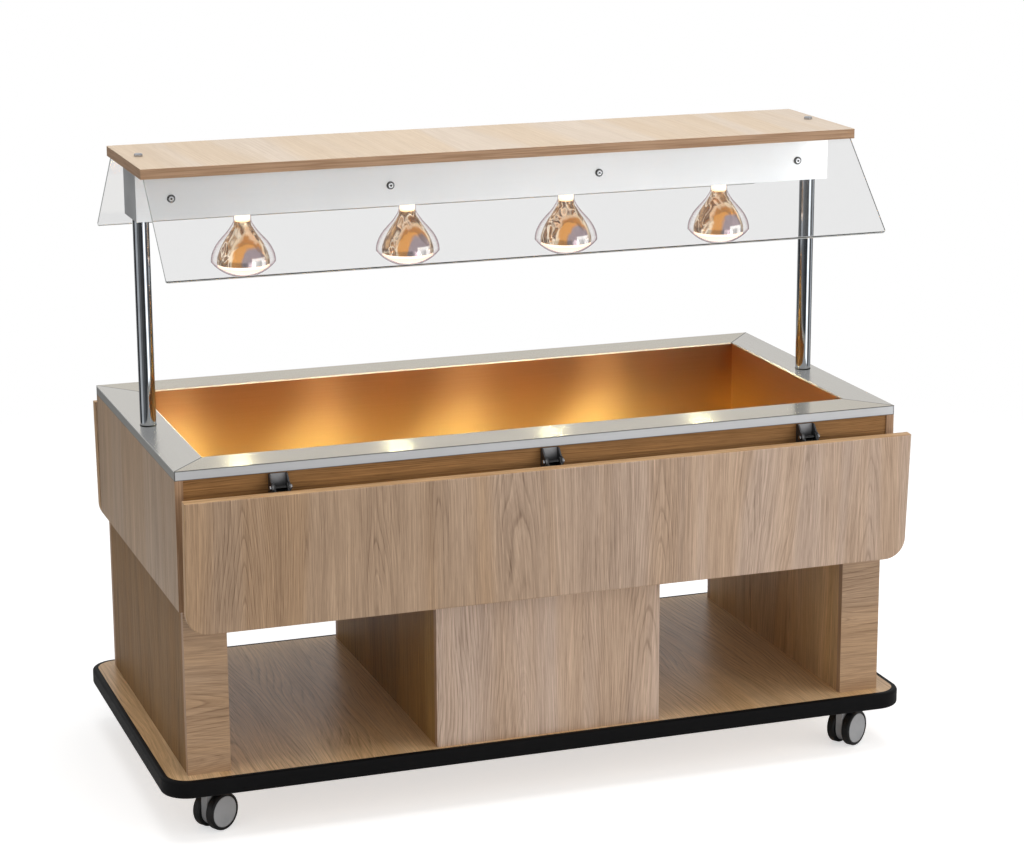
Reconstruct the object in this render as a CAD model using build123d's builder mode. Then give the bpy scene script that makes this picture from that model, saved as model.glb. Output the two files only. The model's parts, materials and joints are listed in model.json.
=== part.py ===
from build123d import *
import os
from math import asin, cos, radians, sin

os.makedirs("parts", exist_ok=True)

# Hot buffet trolley. Millimetres, floor at Z = 0, front towards -Y, left end towards -X.

# Fits and clearances
seat_gap = 0.1
running_gap = 0.05
loose_gap = 0.3
panel_hole_gap = 0.5

# Boards
panel = 16
apron_board = 19
deck_thickness = 19
end_panel = 16

# Base and bumper
base_underside = 103
base_board_thickness = 28
base_overhang_end = 39.5
base_overhang_side = 16.5
base_corner = 55
bumper_thickness = 12
bumper_height = 34
bumper_round = 6

# Lower cabinet
pedestal_height = 335
pedestal_width = 84
pedestal_inset = 11
pedestal_setback = 21
centre_width = 468

# Apron and rim
apron_height = 255
apron_recess = 3
rim_length = 1480
rim_width = 735
rim_lip = 19
rim_border_end = 72.5
rim_border_side = 85.5
rim_inner_lip = 3
sheet = 1.5
mitre_gap = 0.3

# Well tank and heating
tank_depth = 213
tank_wall = 1.5
tank_gap = 0.5
tank_flange = 18
heater_rod = 8
heater_bend = 45
heater_inner_x = 90
heater_end_inset = 140
heater_side_inset = 167.5

# Drain
drain_x = 150
drain_pipe_diameter = 26
drain_pipe_wall = 2
drain_flange_diameter = 52
drain_flange_thickness = 3
drain_drop = 48
drain_bend = 40
drain_reach = 22
valve_diameter = 36
valve_length = 50
valve_nut_across = 34
valve_nut_length = 14
valve_neck_diameter = 22
valve_neck_height = 7
spout_diameter = 24
spout_bore = 16
spout_bend = 20
spout_drop = 24
lever_spindle = 9
lever_spindle_depth = 14
lever_hub = 20
lever_thickness = 4
lever_length = 74
lever_width = 15

# Controls
plate_length = 210
plate_height = 96
plate_corner = 8
plate_z = 600
knob_y = 60
knob_diameter = 46
knob_skirt = 5
knob_grip_width = 15
knob_grip_height = 15
knob_round = 1.5
knob_shaft = 6
knob_shaft_length = 22
thermostat_side = 40
thermostat_depth = 30
collar_diameter = 14
switch_pitch = 44
switch_y = -32
switch_length = 32
switch_width = 22
switch_bezel = 2
bezel_border = 3
switch_depth = 26
rocker_length = 24
rocker_width = 15
rocker_gap = 0.5
rocker_rise = 3
rocker_tilt = 8
pilot_y = 14
pilot_diameter = 14
pilot_body_diameter = 11
pilot_depth = 24
pilot_rise = 5
cutout_margin = 14

# Cable gland
gland_inset = 84
gland_z = 60
gland_across = 24
gland_hex_length = 7
gland_nut_diameter = 22
gland_nut_length = 16
gland_bore = 9
gland_thread = 20

# Canopy
post_diameter = 32
post_wall = 2
post_inset = 31
post_height = 414
post_plug = 14
post_foot = 12
stud_diameter = 12
nut_across = 19
nut_height = 10
washer_diameter = 24
washer_thickness = 2.5
bar_height = 99
bar_depth = 110
bar_inset = 10.5
bar_sheet = 1.5
bar_flange = 14
board_inset = 1
board_depth = 317
board_thickness = 20
board_edge_round = 0.8
cap_head_diameter = 17
cap_head_height = 6
cap_shank_diameter = 8
cap_thread_depth = 10
bar_screw_diameter = 16
bar_screw_height = 4
bar_screw_socket = 5
bar_screw_socket_depth = 2.5
bar_screw_shank = 6
bar_screw_length = 8
bar_screw_inset = 68.5
bar_screw_count = 4
bar_screw_rise = 41

# Glass panes
pane_inset = 6.5
pane_thickness = 6
pane_top_y = 150
pane_edge_y = 321.5
pane_edge_drop = 166
pane_corner = 4
groove_depth = 12
groove_gap = 0.2

# Heat lamps
lamp_count = 4
lamp_inset = 220.75
lamp_drop = 132
bulb_diameter = 128
bulb_neck = 35
bulb_face_height = 31
bulb_shoulder_height = 62
bulb_waist_height = 97
bulb_neck_height = 120
bulb_waist_diameter = 52
bulb_shoulder_diameter = 109
bulb_neck_end = 142
bulb_cap_diameter = 26
bulb_cap_length = 24
holder_diameter = 44
holder_height = 60
holder_flange = 64
holder_flange_thickness = 3
holder_hole = 48

# Flaps
flap_overhang = 3
flap_shift = 6
flap_height = 262
flap_thickness = 22
flap_corner = 42
flap_edge_round = 2.5
flap_standoff = 22
flap_top_drop = 0.3
flap_lean = 3.5
flap_raised = 90

# Folding brackets
bracket_inset = 197
bracket_count = 3
pivot_out = 22
pivot_drop = 25
leg_width = 36
leg_wall = 3
leg_top_gap = 2
leg_length = 120
leg_top_reach = 10
leg_toe_reach = 8
leg_foot_reach = 17
leg_foot_drop = 52
hub_radius = 10
hinge_pin = 8
pin_head = 10
pin_head_height = 3.5
arm_side_gap = 0.4
arm_wall = 3
arm_length = 190
arm_hub = 8.5
arm_web_top = 8
arm_tip_depth = 16
heel_drop = 68
slot_margin = 3.2
relief_gap = 1.2
stay_pivot_out = 9
stay_pivot_drop = 38
stay_length = 115
stay_width = 18
stay_depth = 10
stay_pin = 6
stay_pin_head = 10
slot_standoff = 12
slot_arcs = 3

# Casters
wheel_diameter = 75
wheel_width = 18
wheel_round = 4
wheel_dish = 4
wheel_dish_rim = 5.5
wheel_hollow = 6
wheel_hub = 22
caster_inset_end = 63
caster_inset_side = 62.5
caster_trail = 12
caster_swivel = 32
caster_plate = 62
caster_plate_corner = 6
caster_plate_thickness = 4
hood_width = 15
hood_radius = 31
hood_wheel_gap = 1
hood_boss = 36
raceway_diameter = 50
raceway_height = 5
kingpin = 12
axle = 8
axle_engagement = 11

# Levels
base_top = base_underside + base_board_thickness
apron_bottom = base_top + pedestal_height
rim_underside = apron_bottom + apron_height
rim_top = rim_underside + rim_lip
bar_bottom = rim_top + post_height
board_bottom = bar_bottom + bar_height
board_top = board_bottom + board_thickness

# Plan sizes
base_length = rim_length + 2 * base_overhang_end
base_width = rim_width + 2 * base_overhang_side
pedestal_outer_x = rim_length / 2 - pedestal_inset
pedestal_inner_x = pedestal_outer_x - pedestal_width
pedestal_depth = rim_width - 2 * pedestal_setback
apron_face_y = rim_width / 2 - apron_recess
apron_inner_y = apron_face_y - apron_board
apron_inner_x = rim_length / 2 - end_panel
well_length = rim_length - 2 * rim_border_end
well_width = rim_width - 2 * rim_border_side
tank_length = well_length + 2 * (sheet + tank_gap + tank_wall)
tank_width = well_width + 2 * (sheet + tank_gap + tank_wall)
core_inner_x = tank_length / 2 + tank_gap
core_inner_y = tank_width / 2 + tank_gap
core_outer_x = rim_length / 2 - sheet
core_outer_y = rim_width / 2 - sheet
core_top = rim_top - sheet
tank_underside = core_top - tank_depth
board_length = rim_length - 2 * board_inset
bar_length = board_length - 2 * bar_inset
pane_length = board_length - 2 * pane_inset
post_x = rim_length / 2 - post_inset
bar_screw_pitch = (bar_length - 2 * bar_screw_inset) / (bar_screw_count - 1)
lamp_pitch = (bar_length - 2 * lamp_inset) / (lamp_count - 1)
bracket_pitch = (rim_length - 2 * bracket_inset) / (bracket_count - 1)


def save(shape, name):
    shape.label = name
    export_step(shape, "parts/" + name + ".step")


# Base board and bumper
with BuildPart() as base_board:
    with BuildSketch(Plane.XY.offset(base_underside)):
        RectangleRounded(
            base_length - 2 * bumper_thickness,
            base_width - 2 * bumper_thickness,
            base_corner - bumper_thickness,
        )
    extrude(amount=base_board_thickness)
save(base_board.part, "base_board")

with BuildPart() as base_bumper:
    with BuildSketch(Plane.XY.offset(base_top - bumper_height)):
        RectangleRounded(base_length, base_width, base_corner)
        RectangleRounded(
            base_length - 2 * bumper_thickness + 2 * seat_gap,
            base_width - 2 * bumper_thickness + 2 * seat_gap,
            base_corner - bumper_thickness + seat_gap,
            mode=Mode.SUBTRACT,
        )
    extrude(amount=bumper_height)
    bumper_top = base_bumper.faces().sort_by(Axis.Z)[-1].outer_wire().edges()
    bumper_bottom = base_bumper.faces().sort_by(Axis.Z)[0].outer_wire().edges()
    fillet(bumper_top + bumper_bottom, radius=bumper_round)
save(base_bumper.part, "base_bumper")

# End pedestals
with BuildPart() as pedestal_outer_panels:
    with BuildSketch(Plane.XY.offset(base_top)):
        with GridLocations(2 * pedestal_outer_x - panel, 0, 2, 1):
            Rectangle(panel, pedestal_depth - 2 * panel)
    extrude(amount=pedestal_height)
save(pedestal_outer_panels.part, "pedestal_outer_panels")

with BuildPart() as pedestal_inner_panels:
    with BuildSketch(Plane.XY.offset(base_top)):
        with GridLocations(2 * pedestal_inner_x + panel, 0, 2, 1):
            Rectangle(panel, pedestal_depth - 2 * panel)
    extrude(amount=pedestal_height)
save(pedestal_inner_panels.part, "pedestal_inner_panels")

with BuildPart() as pedestal_end_caps:
    with BuildSketch(Plane.XY.offset(base_top)):
        with GridLocations(2 * pedestal_outer_x - pedestal_width, pedestal_depth - panel, 2, 2):
            Rectangle(pedestal_width, panel)
    extrude(amount=pedestal_height)
save(pedestal_end_caps.part, "pedestal_end_caps")

# Centre cabinet
drain_z = apron_bottom - drain_drop
gland_x = centre_width / 2 - gland_inset
gland_height = base_top + gland_z

with BuildPart() as centre_face_panels:
    with BuildSketch(Plane.XY.offset(base_top)):
        with GridLocations(0, 2 * apron_face_y - panel, 1, 2):
            Rectangle(centre_width, panel)
    extrude(amount=pedestal_height)
    with Locations(Plane(origin=(gland_x, apron_face_y, gland_height), z_dir=(0, 1, 0))):
        Hole(radius=gland_thread / 2 + panel_hole_gap, depth=2 * panel)
save(centre_face_panels.part, "centre_face_panels")

with BuildPart() as centre_side_panels:
    with BuildSketch(Plane.XY.offset(base_top)):
        with GridLocations(centre_width - panel, 0, 2, 1):
            Rectangle(panel, 2 * apron_face_y - 2 * panel)
    extrude(amount=pedestal_height)
    with Locations(Plane(origin=(centre_width / 2, 0, drain_z), z_dir=(1, 0, 0))):
        Hole(radius=drain_pipe_diameter / 2 + panel_hole_gap, depth=2 * panel)
save(centre_side_panels.part, "centre_side_panels")

# Deck and apron
with BuildPart() as deck_board:
    with BuildSketch(Plane.XY.offset(apron_bottom)):
        Rectangle(2 * apron_inner_x, 2 * apron_inner_y)
        with Locations((drain_x, 0)):
            Circle(drain_pipe_diameter / 2 + panel_hole_gap, mode=Mode.SUBTRACT)
    extrude(amount=deck_thickness)
save(deck_board.part, "deck_board")

with BuildPart() as apron_long_boards:
    with BuildSketch(Plane.XY.offset(apron_bottom)):
        with GridLocations(0, 2 * apron_face_y - apron_board, 1, 2):
            Rectangle(2 * apron_inner_x, apron_board)
    extrude(amount=apron_height)
save(apron_long_boards.part, "apron_long_boards")

with BuildPart() as apron_left_panel:
    with BuildSketch(Plane.XY.offset(apron_bottom)):
        with Locations((-rim_length / 2 + end_panel / 2, 0)):
            Rectangle(end_panel, rim_width)
    extrude(amount=apron_height)
save(apron_left_panel.part, "apron_left_panel")

with BuildPart() as apron_right_panel:
    with BuildSketch(Plane.XY.offset(apron_bottom)):
        with Locations((rim_length / 2 - end_panel / 2, 0)):
            Rectangle(end_panel, rim_width)
    extrude(amount=apron_height)
    with BuildSketch(Plane(origin=(rim_length / 2, 0, plate_z), x_dir=(0, 1, 0), z_dir=(1, 0, 0))):
        Rectangle(plate_length - 2 * cutout_margin, plate_height - 2 * cutout_margin)
    extrude(amount=-end_panel, mode=Mode.SUBTRACT)
save(apron_right_panel.part, "apron_right_panel")

# Rim core boards, rebated for the tank flange
with BuildPart() as rim_core_boards:
    with BuildSketch(Plane.XY.offset(rim_underside)):
        with GridLocations(0, core_outer_y + core_inner_y, 1, 2):
            Rectangle(2 * core_outer_x, core_outer_y - core_inner_y)
        with GridLocations(core_outer_x + core_inner_x, 0, 2, 1):
            Rectangle(core_outer_x - core_inner_x, 2 * core_inner_y - 2 * seat_gap)
        with GridLocations(2 * post_x, 0, 2, 1):
            Circle(stud_diameter / 2 + loose_gap, mode=Mode.SUBTRACT)
    extrude(amount=rim_lip - sheet)
    with BuildSketch(Plane.XY.offset(core_top)):
        Rectangle(tank_length + 2 * tank_flange + 2 * tank_gap, tank_width + 2 * tank_flange + 2 * tank_gap)
    extrude(amount=-tank_wall, mode=Mode.SUBTRACT)
save(rim_core_boards.part, "rim_core_boards")

# Rim cladding, mitred from corner to corner
with BuildPart() as rim_long_strips:
    with BuildSketch(Plane.XY.offset(rim_underside)):
        with BuildLine():
            Polyline(
                (-rim_length / 2 + mitre_gap, -rim_width / 2),
                (rim_length / 2 - mitre_gap, -rim_width / 2),
                (well_length / 2 - mitre_gap, -well_width / 2),
                (-well_length / 2 + mitre_gap, -well_width / 2),
                close=True,
            )
        make_face()
    extrude(amount=rim_lip)
    with BuildSketch(Plane.XY.offset(rim_underside)):
        with Locations((0, -(rim_width + well_width) / 4)):
            Rectangle(rim_length, rim_border_side - 2 * sheet)
    extrude(amount=rim_lip - sheet, mode=Mode.SUBTRACT)
    with BuildSketch(Plane.XY.offset(rim_underside)):
        with Locations((0, -well_width / 2 - sheet / 2)):
            Rectangle(rim_length, sheet)
    extrude(amount=rim_lip - rim_inner_lip, mode=Mode.SUBTRACT)
    mirror(about=Plane.XZ)
save(rim_long_strips.part, "rim_long_strips")

with BuildPart() as rim_end_strips:
    with BuildSketch(Plane.XY.offset(rim_underside)):
        with BuildLine():
            Polyline(
                (rim_length / 2, -rim_width / 2),
                (rim_length / 2, rim_width / 2),
                (well_length / 2, well_width / 2),
                (well_length / 2, -well_width / 2),
                close=True,
            )
        make_face()
        with Locations((post_x, 0)):
            Circle(stud_diameter / 2 + loose_gap, mode=Mode.SUBTRACT)
    extrude(amount=rim_lip)
    with BuildSketch(Plane.XY.offset(rim_underside)):
        with Locations(((rim_length + well_length) / 4, 0)):
            Rectangle(rim_border_end - 2 * sheet, rim_width)
    extrude(amount=rim_lip - sheet, mode=Mode.SUBTRACT)
    with BuildSketch(Plane.XY.offset(rim_underside)):
        with Locations((well_length / 2 + sheet / 2, 0)):
            Rectangle(sheet, rim_width)
    extrude(amount=rim_lip - rim_inner_lip, mode=Mode.SUBTRACT)
    mirror(about=Plane.YZ)
save(rim_end_strips.part, "rim_end_strips")

# Well tank: a floor sheet, and sides folded outwards over the core boards
with BuildPart() as tank_floor:
    with BuildSketch(Plane.XY.offset(tank_underside)):
        Rectangle(tank_length - 2 * tank_wall, tank_width - 2 * tank_wall)
        with Locations((drain_x, 0)):
            Circle(drain_pipe_diameter / 2 - drain_pipe_wall, mode=Mode.SUBTRACT)
    extrude(amount=tank_wall)
save(tank_floor.part, "tank_floor")

with BuildPart() as tank_long_sides:
    with BuildSketch(Plane.YZ):
        with Locations((tank_width / 2, tank_underside)):
            Rectangle(tank_wall, tank_depth, align=(Align.MAX, Align.MIN))
        with Locations((tank_width / 2, core_top)):
            Rectangle(tank_flange, tank_wall, align=(Align.MIN, Align.MAX))
    extrude(amount=tank_length / 2, both=True)
    mirror(about=Plane.XZ)
save(tank_long_sides.part, "tank_long_sides")

with BuildPart() as tank_end_sides:
    with BuildSketch(Plane.XZ):
        with Locations((tank_length / 2, tank_underside)):
            Rectangle(tank_wall, tank_depth, align=(Align.MAX, Align.MIN))
        with Locations((tank_length / 2, core_top)):
            Rectangle(tank_flange, tank_wall, align=(Align.MIN, Align.MAX))
    extrude(amount=tank_width / 2 - tank_wall, both=True)
    mirror(about=Plane.YZ)
save(tank_end_sides.part, "tank_end_sides")

heater_outer_x = rim_length / 2 - heater_end_inset
heater_side_y = rim_width / 2 - heater_side_inset
heater_z = tank_underside - heater_rod / 2 - seat_gap
with BuildPart() as heating_elements:
    with BuildLine() as heater_path:
        FilletPolyline(
            (heater_outer_x, -heater_side_y, heater_z),
            (heater_inner_x, -heater_side_y, heater_z),
            (heater_inner_x, heater_side_y, heater_z),
            (heater_outer_x, heater_side_y, heater_z),
            radius=heater_bend,
        )
    with BuildSketch(Plane(origin=heater_path.line @ 0, z_dir=heater_path.line % 0)):
        Circle(heater_rod / 2)
    sweep()
    mirror(about=Plane.YZ)
save(heating_elements.part, "heating_elements")

# Drain pipe from the tank through the deck into the right-hand bay
valve_start_x = centre_width / 2 + drain_reach
with BuildPart() as drain_pipe:
    with BuildLine() as drain_path:
        FilletPolyline(
            (drain_x, 0, tank_underside),
            (drain_x, 0, drain_z),
            (valve_start_x, 0, drain_z),
            radius=drain_bend,
        )
    with BuildSketch(Plane.XY.offset(tank_underside)):
        with Locations((drain_x, 0)):
            Circle(drain_pipe_diameter / 2)
            Circle(drain_pipe_diameter / 2 - drain_pipe_wall, mode=Mode.SUBTRACT)
    sweep()
    with BuildSketch(Plane.XY.offset(tank_underside)):
        with Locations((drain_x, 0)):
            Circle(drain_flange_diameter / 2)
            Circle(drain_pipe_diameter / 2 - drain_pipe_wall / 2, mode=Mode.SUBTRACT)
    extrude(amount=-drain_flange_thickness)
save(drain_pipe.part, "drain_pipe")

# Drain valve with its spout, and the lever on top
valve_x = valve_start_x + valve_length / 2
valve_end_x = valve_start_x + valve_length
valve_neck_top = drain_z + valve_diameter / 2 + valve_neck_height
with BuildPart() as drain_valve:
    with BuildSketch(Plane(origin=(valve_start_x, 0, drain_z), z_dir=(1, 0, 0))):
        Circle(valve_diameter / 2)
    extrude(amount=valve_length)
    with BuildSketch(Plane(origin=(valve_start_x, 0, drain_z), z_dir=(1, 0, 0))):
        RegularPolygon(valve_nut_across / 2, 6, major_radius=False)
    extrude(amount=valve_nut_length)
    with BuildSketch(Plane.XY.offset(drain_z)):
        with Locations((valve_x, 0)):
            Circle(valve_neck_diameter / 2)
    extrude(amount=valve_diameter / 2 + valve_neck_height)
    with BuildLine() as spout_path:
        FilletPolyline(
            (valve_end_x - valve_nut_length, 0, drain_z),
            (valve_end_x + spout_bend, 0, drain_z),
            (valve_end_x + spout_bend, 0, drain_z - spout_bend - spout_drop),
            radius=spout_bend,
        )
    with BuildSketch(Plane(origin=spout_path.line @ 0, z_dir=spout_path.line % 0)):
        Circle(spout_diameter / 2)
    sweep(path=spout_path.line)
    with BuildSketch(Plane(origin=spout_path.line @ 1, z_dir=(0, 0, 1))):
        Circle(spout_bore / 2)
    extrude(amount=spout_drop, mode=Mode.SUBTRACT)
    with BuildSketch(Plane.XY.offset(valve_neck_top)):
        with Locations((valve_x, 0)):
            Circle(lever_spindle / 2 + running_gap)
    extrude(amount=-lever_spindle_depth, mode=Mode.SUBTRACT)
save(drain_valve.part, "drain_valve")

with BuildPart() as drain_lever:
    with BuildSketch(Plane.XY.offset(valve_neck_top + loose_gap)):
        with Locations((valve_x, 0)):
            Circle(lever_hub / 2)
        with Locations((valve_x, -lever_length / 2)):
            SlotCenterToCenter(lever_length, lever_width, rotation=90)
    extrude(amount=lever_thickness)
    with BuildSketch(Plane.XY.offset(valve_neck_top + loose_gap)):
        with Locations((valve_x, 0)):
            Circle(lever_spindle / 2)
    extrude(amount=-lever_spindle_depth + loose_gap)
save(drain_lever.part, "drain_lever")

# Control plate on the right-hand end, with what is mounted in it
plate_back_x = rim_length / 2
plate_face_x = plate_back_x + sheet
switch_body_width = switch_width - 2 * bezel_border
switch_body_length = switch_length - 2 * bezel_border
switch_centres = (switch_y - switch_pitch / 2, switch_y + switch_pitch / 2)


def control_plane(x, y):
    return Plane(origin=(x, y, plate_z), x_dir=(0, 1, 0), z_dir=(1, 0, 0))


with BuildPart() as control_plate:
    with BuildSketch(control_plane(plate_back_x, 0)):
        RectangleRounded(plate_length, plate_height, plate_corner)
        with Locations((knob_y, 0)):
            Circle(collar_diameter / 2 + loose_gap, mode=Mode.SUBTRACT)
        with Locations((pilot_y, 0)):
            Circle(pilot_body_diameter / 2 + loose_gap, mode=Mode.SUBTRACT)
        with Locations((switch_centres[0], 0), (switch_centres[1], 0)):
            Rectangle(
                switch_body_width + 2 * rocker_gap,
                switch_body_length + 2 * rocker_gap,
                mode=Mode.SUBTRACT,
            )
    extrude(amount=sheet)
save(control_plate.part, "control_plate")

with BuildPart() as thermostat:
    with BuildSketch(control_plane(plate_back_x, knob_y)):
        Rectangle(thermostat_side, thermostat_side)
    extrude(amount=-thermostat_depth)
    with BuildSketch(control_plane(plate_back_x, knob_y)):
        Circle(collar_diameter / 2)
    extrude(amount=sheet)
    with BuildSketch(control_plane(plate_face_x, knob_y)):
        Circle(knob_shaft / 2 + running_gap)
    extrude(amount=-knob_shaft_length, mode=Mode.SUBTRACT)
save(thermostat.part, "thermostat")

with BuildPart() as thermostat_knob:
    with BuildSketch(control_plane(plate_face_x + loose_gap, knob_y)):
        Circle(knob_diameter / 2)
    extrude(amount=knob_skirt)
    with BuildSketch(control_plane(plate_face_x + loose_gap + knob_skirt, knob_y)):
        SlotOverall(knob_diameter - 2 * knob_round, knob_grip_width, rotation=90)
    extrude(amount=knob_grip_height)
    knob_top = thermostat_knob.faces().sort_by(Axis.X)[-1].edges()
    fillet(knob_top, radius=knob_round)
    with BuildSketch(control_plane(plate_face_x + loose_gap, knob_y)):
        Circle(knob_shaft / 2)
    extrude(amount=-knob_shaft_length + 2 * loose_gap)
save(thermostat_knob.part, "thermostat_knob")

with BuildPart() as switch_bodies:
    with BuildSketch(control_plane(plate_face_x, 0)):
        with Locations((switch_centres[0], 0), (switch_centres[1], 0)):
            Rectangle(switch_width, switch_length)
    extrude(amount=switch_bezel)
    with BuildSketch(control_plane(plate_face_x, 0)):
        with Locations((switch_centres[0], 0), (switch_centres[1], 0)):
            Rectangle(switch_body_width, switch_body_length)
    extrude(amount=-switch_depth)
    with BuildSketch(control_plane(plate_face_x + switch_bezel, 0)):
        with Locations((switch_centres[0], 0), (switch_centres[1], 0)):
            Rectangle(rocker_width - 2 * rocker_gap, rocker_length)
    extrude(amount=-rocker_length / 2 - switch_bezel, mode=Mode.SUBTRACT)
save(switch_bodies.part, "switch_bodies")

rocker_radius = rocker_length / 2 - rocker_gap
rocker_end = switch_bezel + rocker_rise
rocker_reach = (rocker_radius**2 - rocker_end**2) ** 0.5
for rocker_name, rocker_y in (("heat_rocker", switch_centres[0]), ("lamp_rocker", switch_centres[1])):
    rocker_plane = Plane(
        origin=(plate_face_x, rocker_y, plate_z),
        x_dir=(-sin(radians(rocker_tilt)), 0, cos(radians(rocker_tilt))),
        z_dir=(0, 1, 0),
    )
    with BuildPart() as rocker:
        with BuildSketch(rocker_plane):
            with BuildLine():
                Polyline(
                    (-rocker_reach, -rocker_end),
                    (-rocker_reach, rocker_end),
                    (0, switch_bezel + rocker_rise / 2),
                    (rocker_reach, rocker_end),
                    (rocker_reach, -rocker_end),
                )
                ThreePointArc(
                    (rocker_reach, -rocker_end),
                    (0, -rocker_radius),
                    (-rocker_reach, -rocker_end),
                )
            make_face()
        extrude(amount=rocker_width / 2 - 2 * rocker_gap, both=True)
    save(rocker.part, rocker_name)

with BuildPart() as pilot_lamp:
    with BuildSketch(control_plane(plate_face_x, pilot_y)):
        Circle(pilot_diameter / 2)
    extrude(amount=pilot_rise)
    fillet(pilot_lamp.faces().sort_by(Axis.X)[-1].edges(), radius=pilot_rise - knob_round)
    with BuildSketch(control_plane(plate_face_x, pilot_y)):
        Circle(pilot_body_diameter / 2)
    extrude(amount=-pilot_depth)
save(pilot_lamp.part, "pilot_lamp")

# Cable gland at the back of the centre cabinet
with BuildPart() as cable_gland:
    gland_plane = Plane(origin=(gland_x, apron_face_y, gland_height), x_dir=(1, 0, 0), z_dir=(0, 1, 0))
    with BuildSketch(gland_plane):
        RegularPolygon(gland_across / 2, 6, major_radius=False)
    extrude(amount=gland_hex_length)
    with BuildSketch(gland_plane.offset(gland_hex_length)):
        Circle(gland_nut_diameter / 2)
    extrude(amount=gland_nut_length)
    fillet(cable_gland.faces().sort_by(Axis.Y)[-1].edges(), radius=gland_hex_length / 2)
    with BuildSketch(gland_plane):
        Circle(gland_thread / 2)
    extrude(amount=-panel - gland_hex_length)
    with BuildSketch(gland_plane.offset(gland_hex_length + gland_nut_length)):
        Circle(gland_bore / 2)
    extrude(amount=-2 * gland_nut_length, mode=Mode.SUBTRACT)
save(cable_gland.part, "cable_gland")

# Canopy posts: tubes with a plug at the top and a stud through the rim
stud_bottom = rim_underside - washer_thickness - nut_height
with BuildPart() as canopy_posts:
    with BuildSketch(Plane.XY.offset(rim_top)):
        with GridLocations(2 * post_x, 0, 2, 1):
            Circle(post_diameter / 2)
    extrude(amount=post_height + bar_height)
    with BuildSketch(Plane.XY.offset(rim_top + post_foot)):
        with GridLocations(2 * post_x, 0, 2, 1):
            Circle(post_diameter / 2 - post_wall)
            Circle(cap_shank_diameter / 2, mode=Mode.SUBTRACT)
    extrude(amount=post_height + bar_height - post_foot - post_plug, mode=Mode.SUBTRACT)
    with BuildSketch(Plane.XY.offset(rim_top + post_foot)):
        with GridLocations(2 * post_x, 0, 2, 1):
            Circle(cap_shank_diameter / 2)
    extrude(amount=post_height + bar_height - post_foot, mode=Mode.SUBTRACT)
    with BuildSketch(Plane.XY.offset(rim_top)):
        with GridLocations(2 * post_x, 0, 2, 1):
            Circle(stud_diameter / 2)
    extrude(amount=stud_bottom - rim_top)
save(canopy_posts.part, "canopy_posts")

with BuildPart() as post_nuts:
    with BuildSketch(Plane.XY.offset(rim_underside)):
        with GridLocations(2 * post_x, 0, 2, 1):
            Circle(washer_diameter / 2)
            Circle(stud_diameter / 2 + seat_gap, mode=Mode.SUBTRACT)
    extrude(amount=-washer_thickness)
    with BuildSketch(Plane.XY.offset(rim_underside - washer_thickness)):
        with GridLocations(2 * post_x, 0, 2, 1):
            RegularPolygon(nut_across / 2, 6, major_radius=False)
            Circle(stud_diameter / 2 + seat_gap, mode=Mode.SUBTRACT)
    extrude(amount=-nut_height)
save(post_nuts.part, "post_nuts")

# Lamp bar: a folded channel closed by the board above it
with BuildPart() as lamp_bar:
    with BuildSketch(Plane.XY.offset(bar_bottom)):
        Rectangle(bar_length, bar_depth)
    extrude(amount=bar_height)
    with BuildSketch(Plane.XY.offset(bar_bottom + bar_sheet)):
        Rectangle(bar_length - 2 * bar_sheet, bar_depth - 2 * bar_sheet)
    extrude(amount=bar_height - 2 * bar_sheet, mode=Mode.SUBTRACT)
    with BuildSketch(Plane.XY.offset(board_bottom)):
        Rectangle(bar_length - 2 * bar_flange, bar_depth - 2 * bar_flange)
        with GridLocations(2 * post_x, 0, 2, 1):
            Circle(post_diameter / 2 + loose_gap)
    extrude(amount=-bar_sheet, mode=Mode.SUBTRACT)
    with BuildSketch(Plane.XY.offset(bar_bottom)):
        with GridLocations(2 * post_x, 0, 2, 1):
            Circle(post_diameter / 2 + loose_gap)
        with GridLocations(lamp_pitch, 0, lamp_count, 1):
            Circle(holder_hole / 2)
    extrude(amount=bar_sheet, mode=Mode.SUBTRACT)
    with BuildSketch(Plane(origin=(0, 0, bar_bottom + bar_screw_rise), x_dir=(1, 0, 0), z_dir=(0, -1, 0))):
        with GridLocations(bar_screw_pitch, 0, bar_screw_count, 1):
            Circle(bar_screw_shank / 2 + seat_gap)
    extrude(amount=bar_depth, both=True, mode=Mode.SUBTRACT)
save(lamp_bar.part, "lamp_bar")

with BuildPart() as lamp_bar_screws:
    screw_level = bar_bottom + bar_screw_rise
    screw_plane = Plane(origin=(0, -bar_depth / 2, screw_level), x_dir=(1, 0, 0), z_dir=(0, -1, 0))
    with BuildSketch(screw_plane):
        with GridLocations(bar_screw_pitch, 0, bar_screw_count, 1):
            Circle(bar_screw_diameter / 2)
    extrude(amount=bar_screw_height)
    fillet(lamp_bar_screws.faces().group_by(Axis.Y)[0].edges(), radius=bar_screw_height - knob_round)
    with BuildSketch(screw_plane.offset(bar_screw_height)):
        with GridLocations(bar_screw_pitch, 0, bar_screw_count, 1):
            RegularPolygon(bar_screw_socket / 2, 6, major_radius=False)
    extrude(amount=-bar_screw_socket_depth, mode=Mode.SUBTRACT)
    with BuildSketch(screw_plane):
        with GridLocations(bar_screw_pitch, 0, bar_screw_count, 1):
            Circle(bar_screw_shank / 2)
    extrude(amount=-bar_screw_length)
    mirror(about=Plane.XZ)
save(lamp_bar_screws.part, "lamp_bar_screws")

# Canopy board with a slanted groove for each pane
pane_edge_z = board_bottom - pane_edge_drop
pane_top_z = board_bottom
pane_run = ((pane_edge_y - pane_top_y) ** 2 + (pane_top_z - pane_edge_z) ** 2) ** 0.5
pane_down = ((pane_edge_y - pane_top_y) / pane_run, (pane_top_z - pane_edge_z) / pane_run)
pane_bury = groove_depth / pane_down[1]


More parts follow.
